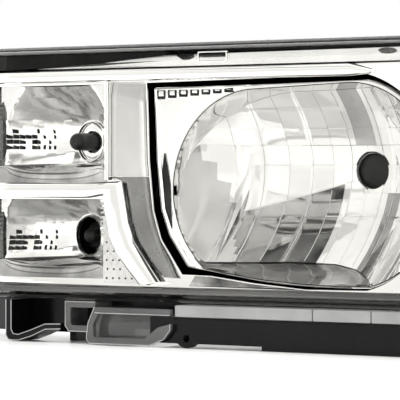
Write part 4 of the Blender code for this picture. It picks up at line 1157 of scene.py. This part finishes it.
FINISH_OF = {
    "black_plastic": BLACK, "clear_lens": CLEAR, "chrome": CHROME, "satin_silver": SATIN, "dark_trim": TRIM,
    "grey_plastic": GREY, "smoked_clip": SMOKED, "rubber": RUBBER, "steel": STEEL, "bulb_glass": GLASS,
    "coated_glass": COATED, "nylon": NYLON,
}
FINISH_OF_NODE = {"upper_strip": SATIN, "upper_shade": BLACK_GLOSS, "position_socket": BLACK}


def dress_cad_nodes():
    """Give every carried-over node its finish."""
    slots = {part["node"]: part["material_slot"] for part in frame["record"]["subparts"]}
    for name, thing in frame["nodes"].items():
        material = FINISH_OF_NODE.get(name, FINISH_OF[slots[name][len(name) + 1:]])
        if name.startswith("lower_strip"):
            material = LIGHT_GREY
        thing.data.materials.clear()
        thing.data.materials.append(material)


# ---- studio


def make_floor():
    """A wide pale floor."""
    points = [(-9, -9, -0.0002), (9, -9, -0.0002), (9, 9, -0.0002), (-9, 9, -0.0002)]
    paper = surface("floor_paper", 0.93, 0.95, (0.32, 0.42), 0.0, 3)
    floor = solid("floor", points, [(0, 1, 2, 3)], paper)
    for polygon in floor.data.polygons:
        if polygon.normal.z < 0:
            polygon.flip()


# Sine of the height above the horizon, and the tone there
SKY = ((-1.0, 1.3), (-0.02, 1.6), (0.14, 1.7), (0.3, 1.45), (0.4, 1.25), (0.45, 0.3), (0.475, 0.3),
       (0.51, 1.2), (0.7, 1.1), (0.745, 0.1), (0.775, 0.1), (0.81, 1.1), (0.9, 1.5), (1.0, 1.7))


def sky_by_height(tree, direction):
    """Tone of the sky by its height: pale, with two dark bands higher up."""
    split = tree.nodes.new("ShaderNodeSeparateXYZ")
    tree.links.new(direction, split.inputs["Vector"])
    ramp = tree.nodes.new("ShaderNodeValToRGB")
    elements = ramp.color_ramp.elements
    elements[0].color = (*grey(SKY[0][1]), 1)
    elements[1].color = (*grey(SKY[-1][1]), 1)
    for height, tone in SKY[1:-1]:
        elements.new((height + 1) / 2).color = (*grey(tone), 1)
    tree.links.new(mapped(tree, split.outputs["Z"], -1, 1, 0, 1), ramp.inputs["Fac"])
    return ramp.outputs["Color"]


def dark_patch(tree, direction, azimuth, elevation, inner, outer, tone):
    """A round patch of the surroundings, darkened to tone; inner and outer are its radii in degrees."""
    azimuth, elevation = math.radians(azimuth), math.radians(elevation)
    level = math.cos(elevation)
    towards = (math.sin(azimuth) * level, -math.cos(azimuth) * level, math.sin(elevation))
    dot = tree.nodes.new("ShaderNodeVectorMath")
    dot.operation = "DOT_PRODUCT"
    dot.inputs[1].default_value = towards
    tree.links.new(direction, dot.inputs[0])
    far, near = math.cos(math.radians(outer)), math.cos(math.radians(inner))
    return mapped(tree, dot.outputs["Value"], far, near, 1, tone)


# Azimuth, elevation, inner and outer radius in degrees, and tone
PATCHES = ((-35, 2, 6, 32, 0.48), (42, 4, 12, 30, 0.55), (96, 6, 8, 22, 0.03), (-80, 24, 6, 16, 0.05),
           (10, 34, 5, 12, 0.05))


def make_world():
    """White surroundings for the eye; for reflections a banded sky and a few darker patches."""
    world = bpy.data.worlds.new("studio")
    bpy.context.scene.world = world
    world.use_nodes = True
    tree = world.node_tree
    back = tree.nodes["Background"]
    direction = tree.nodes.new("ShaderNodeTexCoord").outputs["Generated"]
    colour = sky_by_height(tree, direction)
    for patch in PATCHES:
        scale = tree.nodes.new("ShaderNodeVectorMath")
        scale.operation = "SCALE"
        tree.links.new(colour, scale.inputs[0])
        tree.links.new(dark_patch(tree, direction, *patch), scale.inputs["Scale"])
        colour = scale.outputs["Vector"]
    plain = node(tree, "Background", Strength=1.0)
    plain.inputs["Color"].default_value = (1, 1, 1, 1)
    tree.links.new(colour, back.inputs["Color"])
    back.inputs["Strength"].default_value = 1.3
    path = tree.nodes.new("ShaderNodeLightPath")
    mix = tree.nodes.new("ShaderNodeMixShader")
    tree.links.new(path.outputs["Is Camera Ray"], mix.inputs["Fac"])
    blended(tree, mix, back, plain, tree.nodes["World Output"])


def area_light(name, place_at, size, power):
    """A soft rectangular light that faces the lamp."""
    light = bpy.data.lights.new(name, "AREA")
    light.shape = "RECTANGLE"
    light.size, light.size_y = size
    light.energy = power
    made = bpy.data.objects.new(name, light)
    made.location = place_at
    made.visible_glossy = False
    made.rotation_euler = (Vector(place_at) - Vector((0, -0.03, 0.1))).to_track_quat("Z", "Y").to_euler()
    bpy.context.scene.collection.objects.link(made)


def make_lights():
    """Soft boxes above and beside the lamp; they light it without showing in its chrome."""
    area_light("overhead", (0.1, -0.7, 2.4), (3.0, 2.4), 32)
    area_light("left_box", (-2.2, -1.8, 0.9), (1.2, 1.6), 10)
    area_light("right_box", (2.4, -0.8, 1.0), (1.0, 1.6), 8)


def make_camera():
    """The camera at the reference viewing angle."""
    data = bpy.data.cameras.new("camera")
    data.angle = FIELD_OF_VIEW
    data.clip_end = 60
    camera = bpy.data.objects.new("camera", data)
    bpy.context.scene.collection.objects.link(camera)
    level = math.cos(PITCH)
    back = Vector((math.sin(AZIMUTH) * level, -math.cos(AZIMUTH) * level, math.sin(PITCH)))
    camera.location = AIM + back * DISTANCE
    camera.rotation_euler = back.to_track_quat("Z", "Y").to_euler()
    bpy.context.scene.camera = camera


def make_everything():
    """Build the whole picture."""
    make_camera()
    dress_cad_nodes()
    make_bowl()
    make_mouth()
    make_flange()
    make_optic_strip()
    make_flange_streak()
    make_bowl_lines()
    make_bulb_seat()
    make_mouth_line()
    for name, shape, slot_name in (("turn", TURN, "turn_reflector_chrome"),
                                   ("position", POSITION, "position_reflector_chrome")):
        make_small_bowl(name, shape, slot_name, name + "_reflector")
        make_small_ledge(name, shape, slot_name)
        make_hole_ring(name, shape, slot_name)
        make_painted_reflection_dashes(name, shape, slot_name)
    make_small_bulbs()
    make_bezel()
    make_blades()
    make_centre_panel()
    make_dimple_panel()
    make_lens_bands()
    make_upper_details()
    make_trims()
    make_clip_edges()
    make_housing_lines()
    make_lens()
    make_floor()
    make_world()
    make_lights()
    bpy.context.scene.view_settings.view_transform = "Standard"


make_everything()
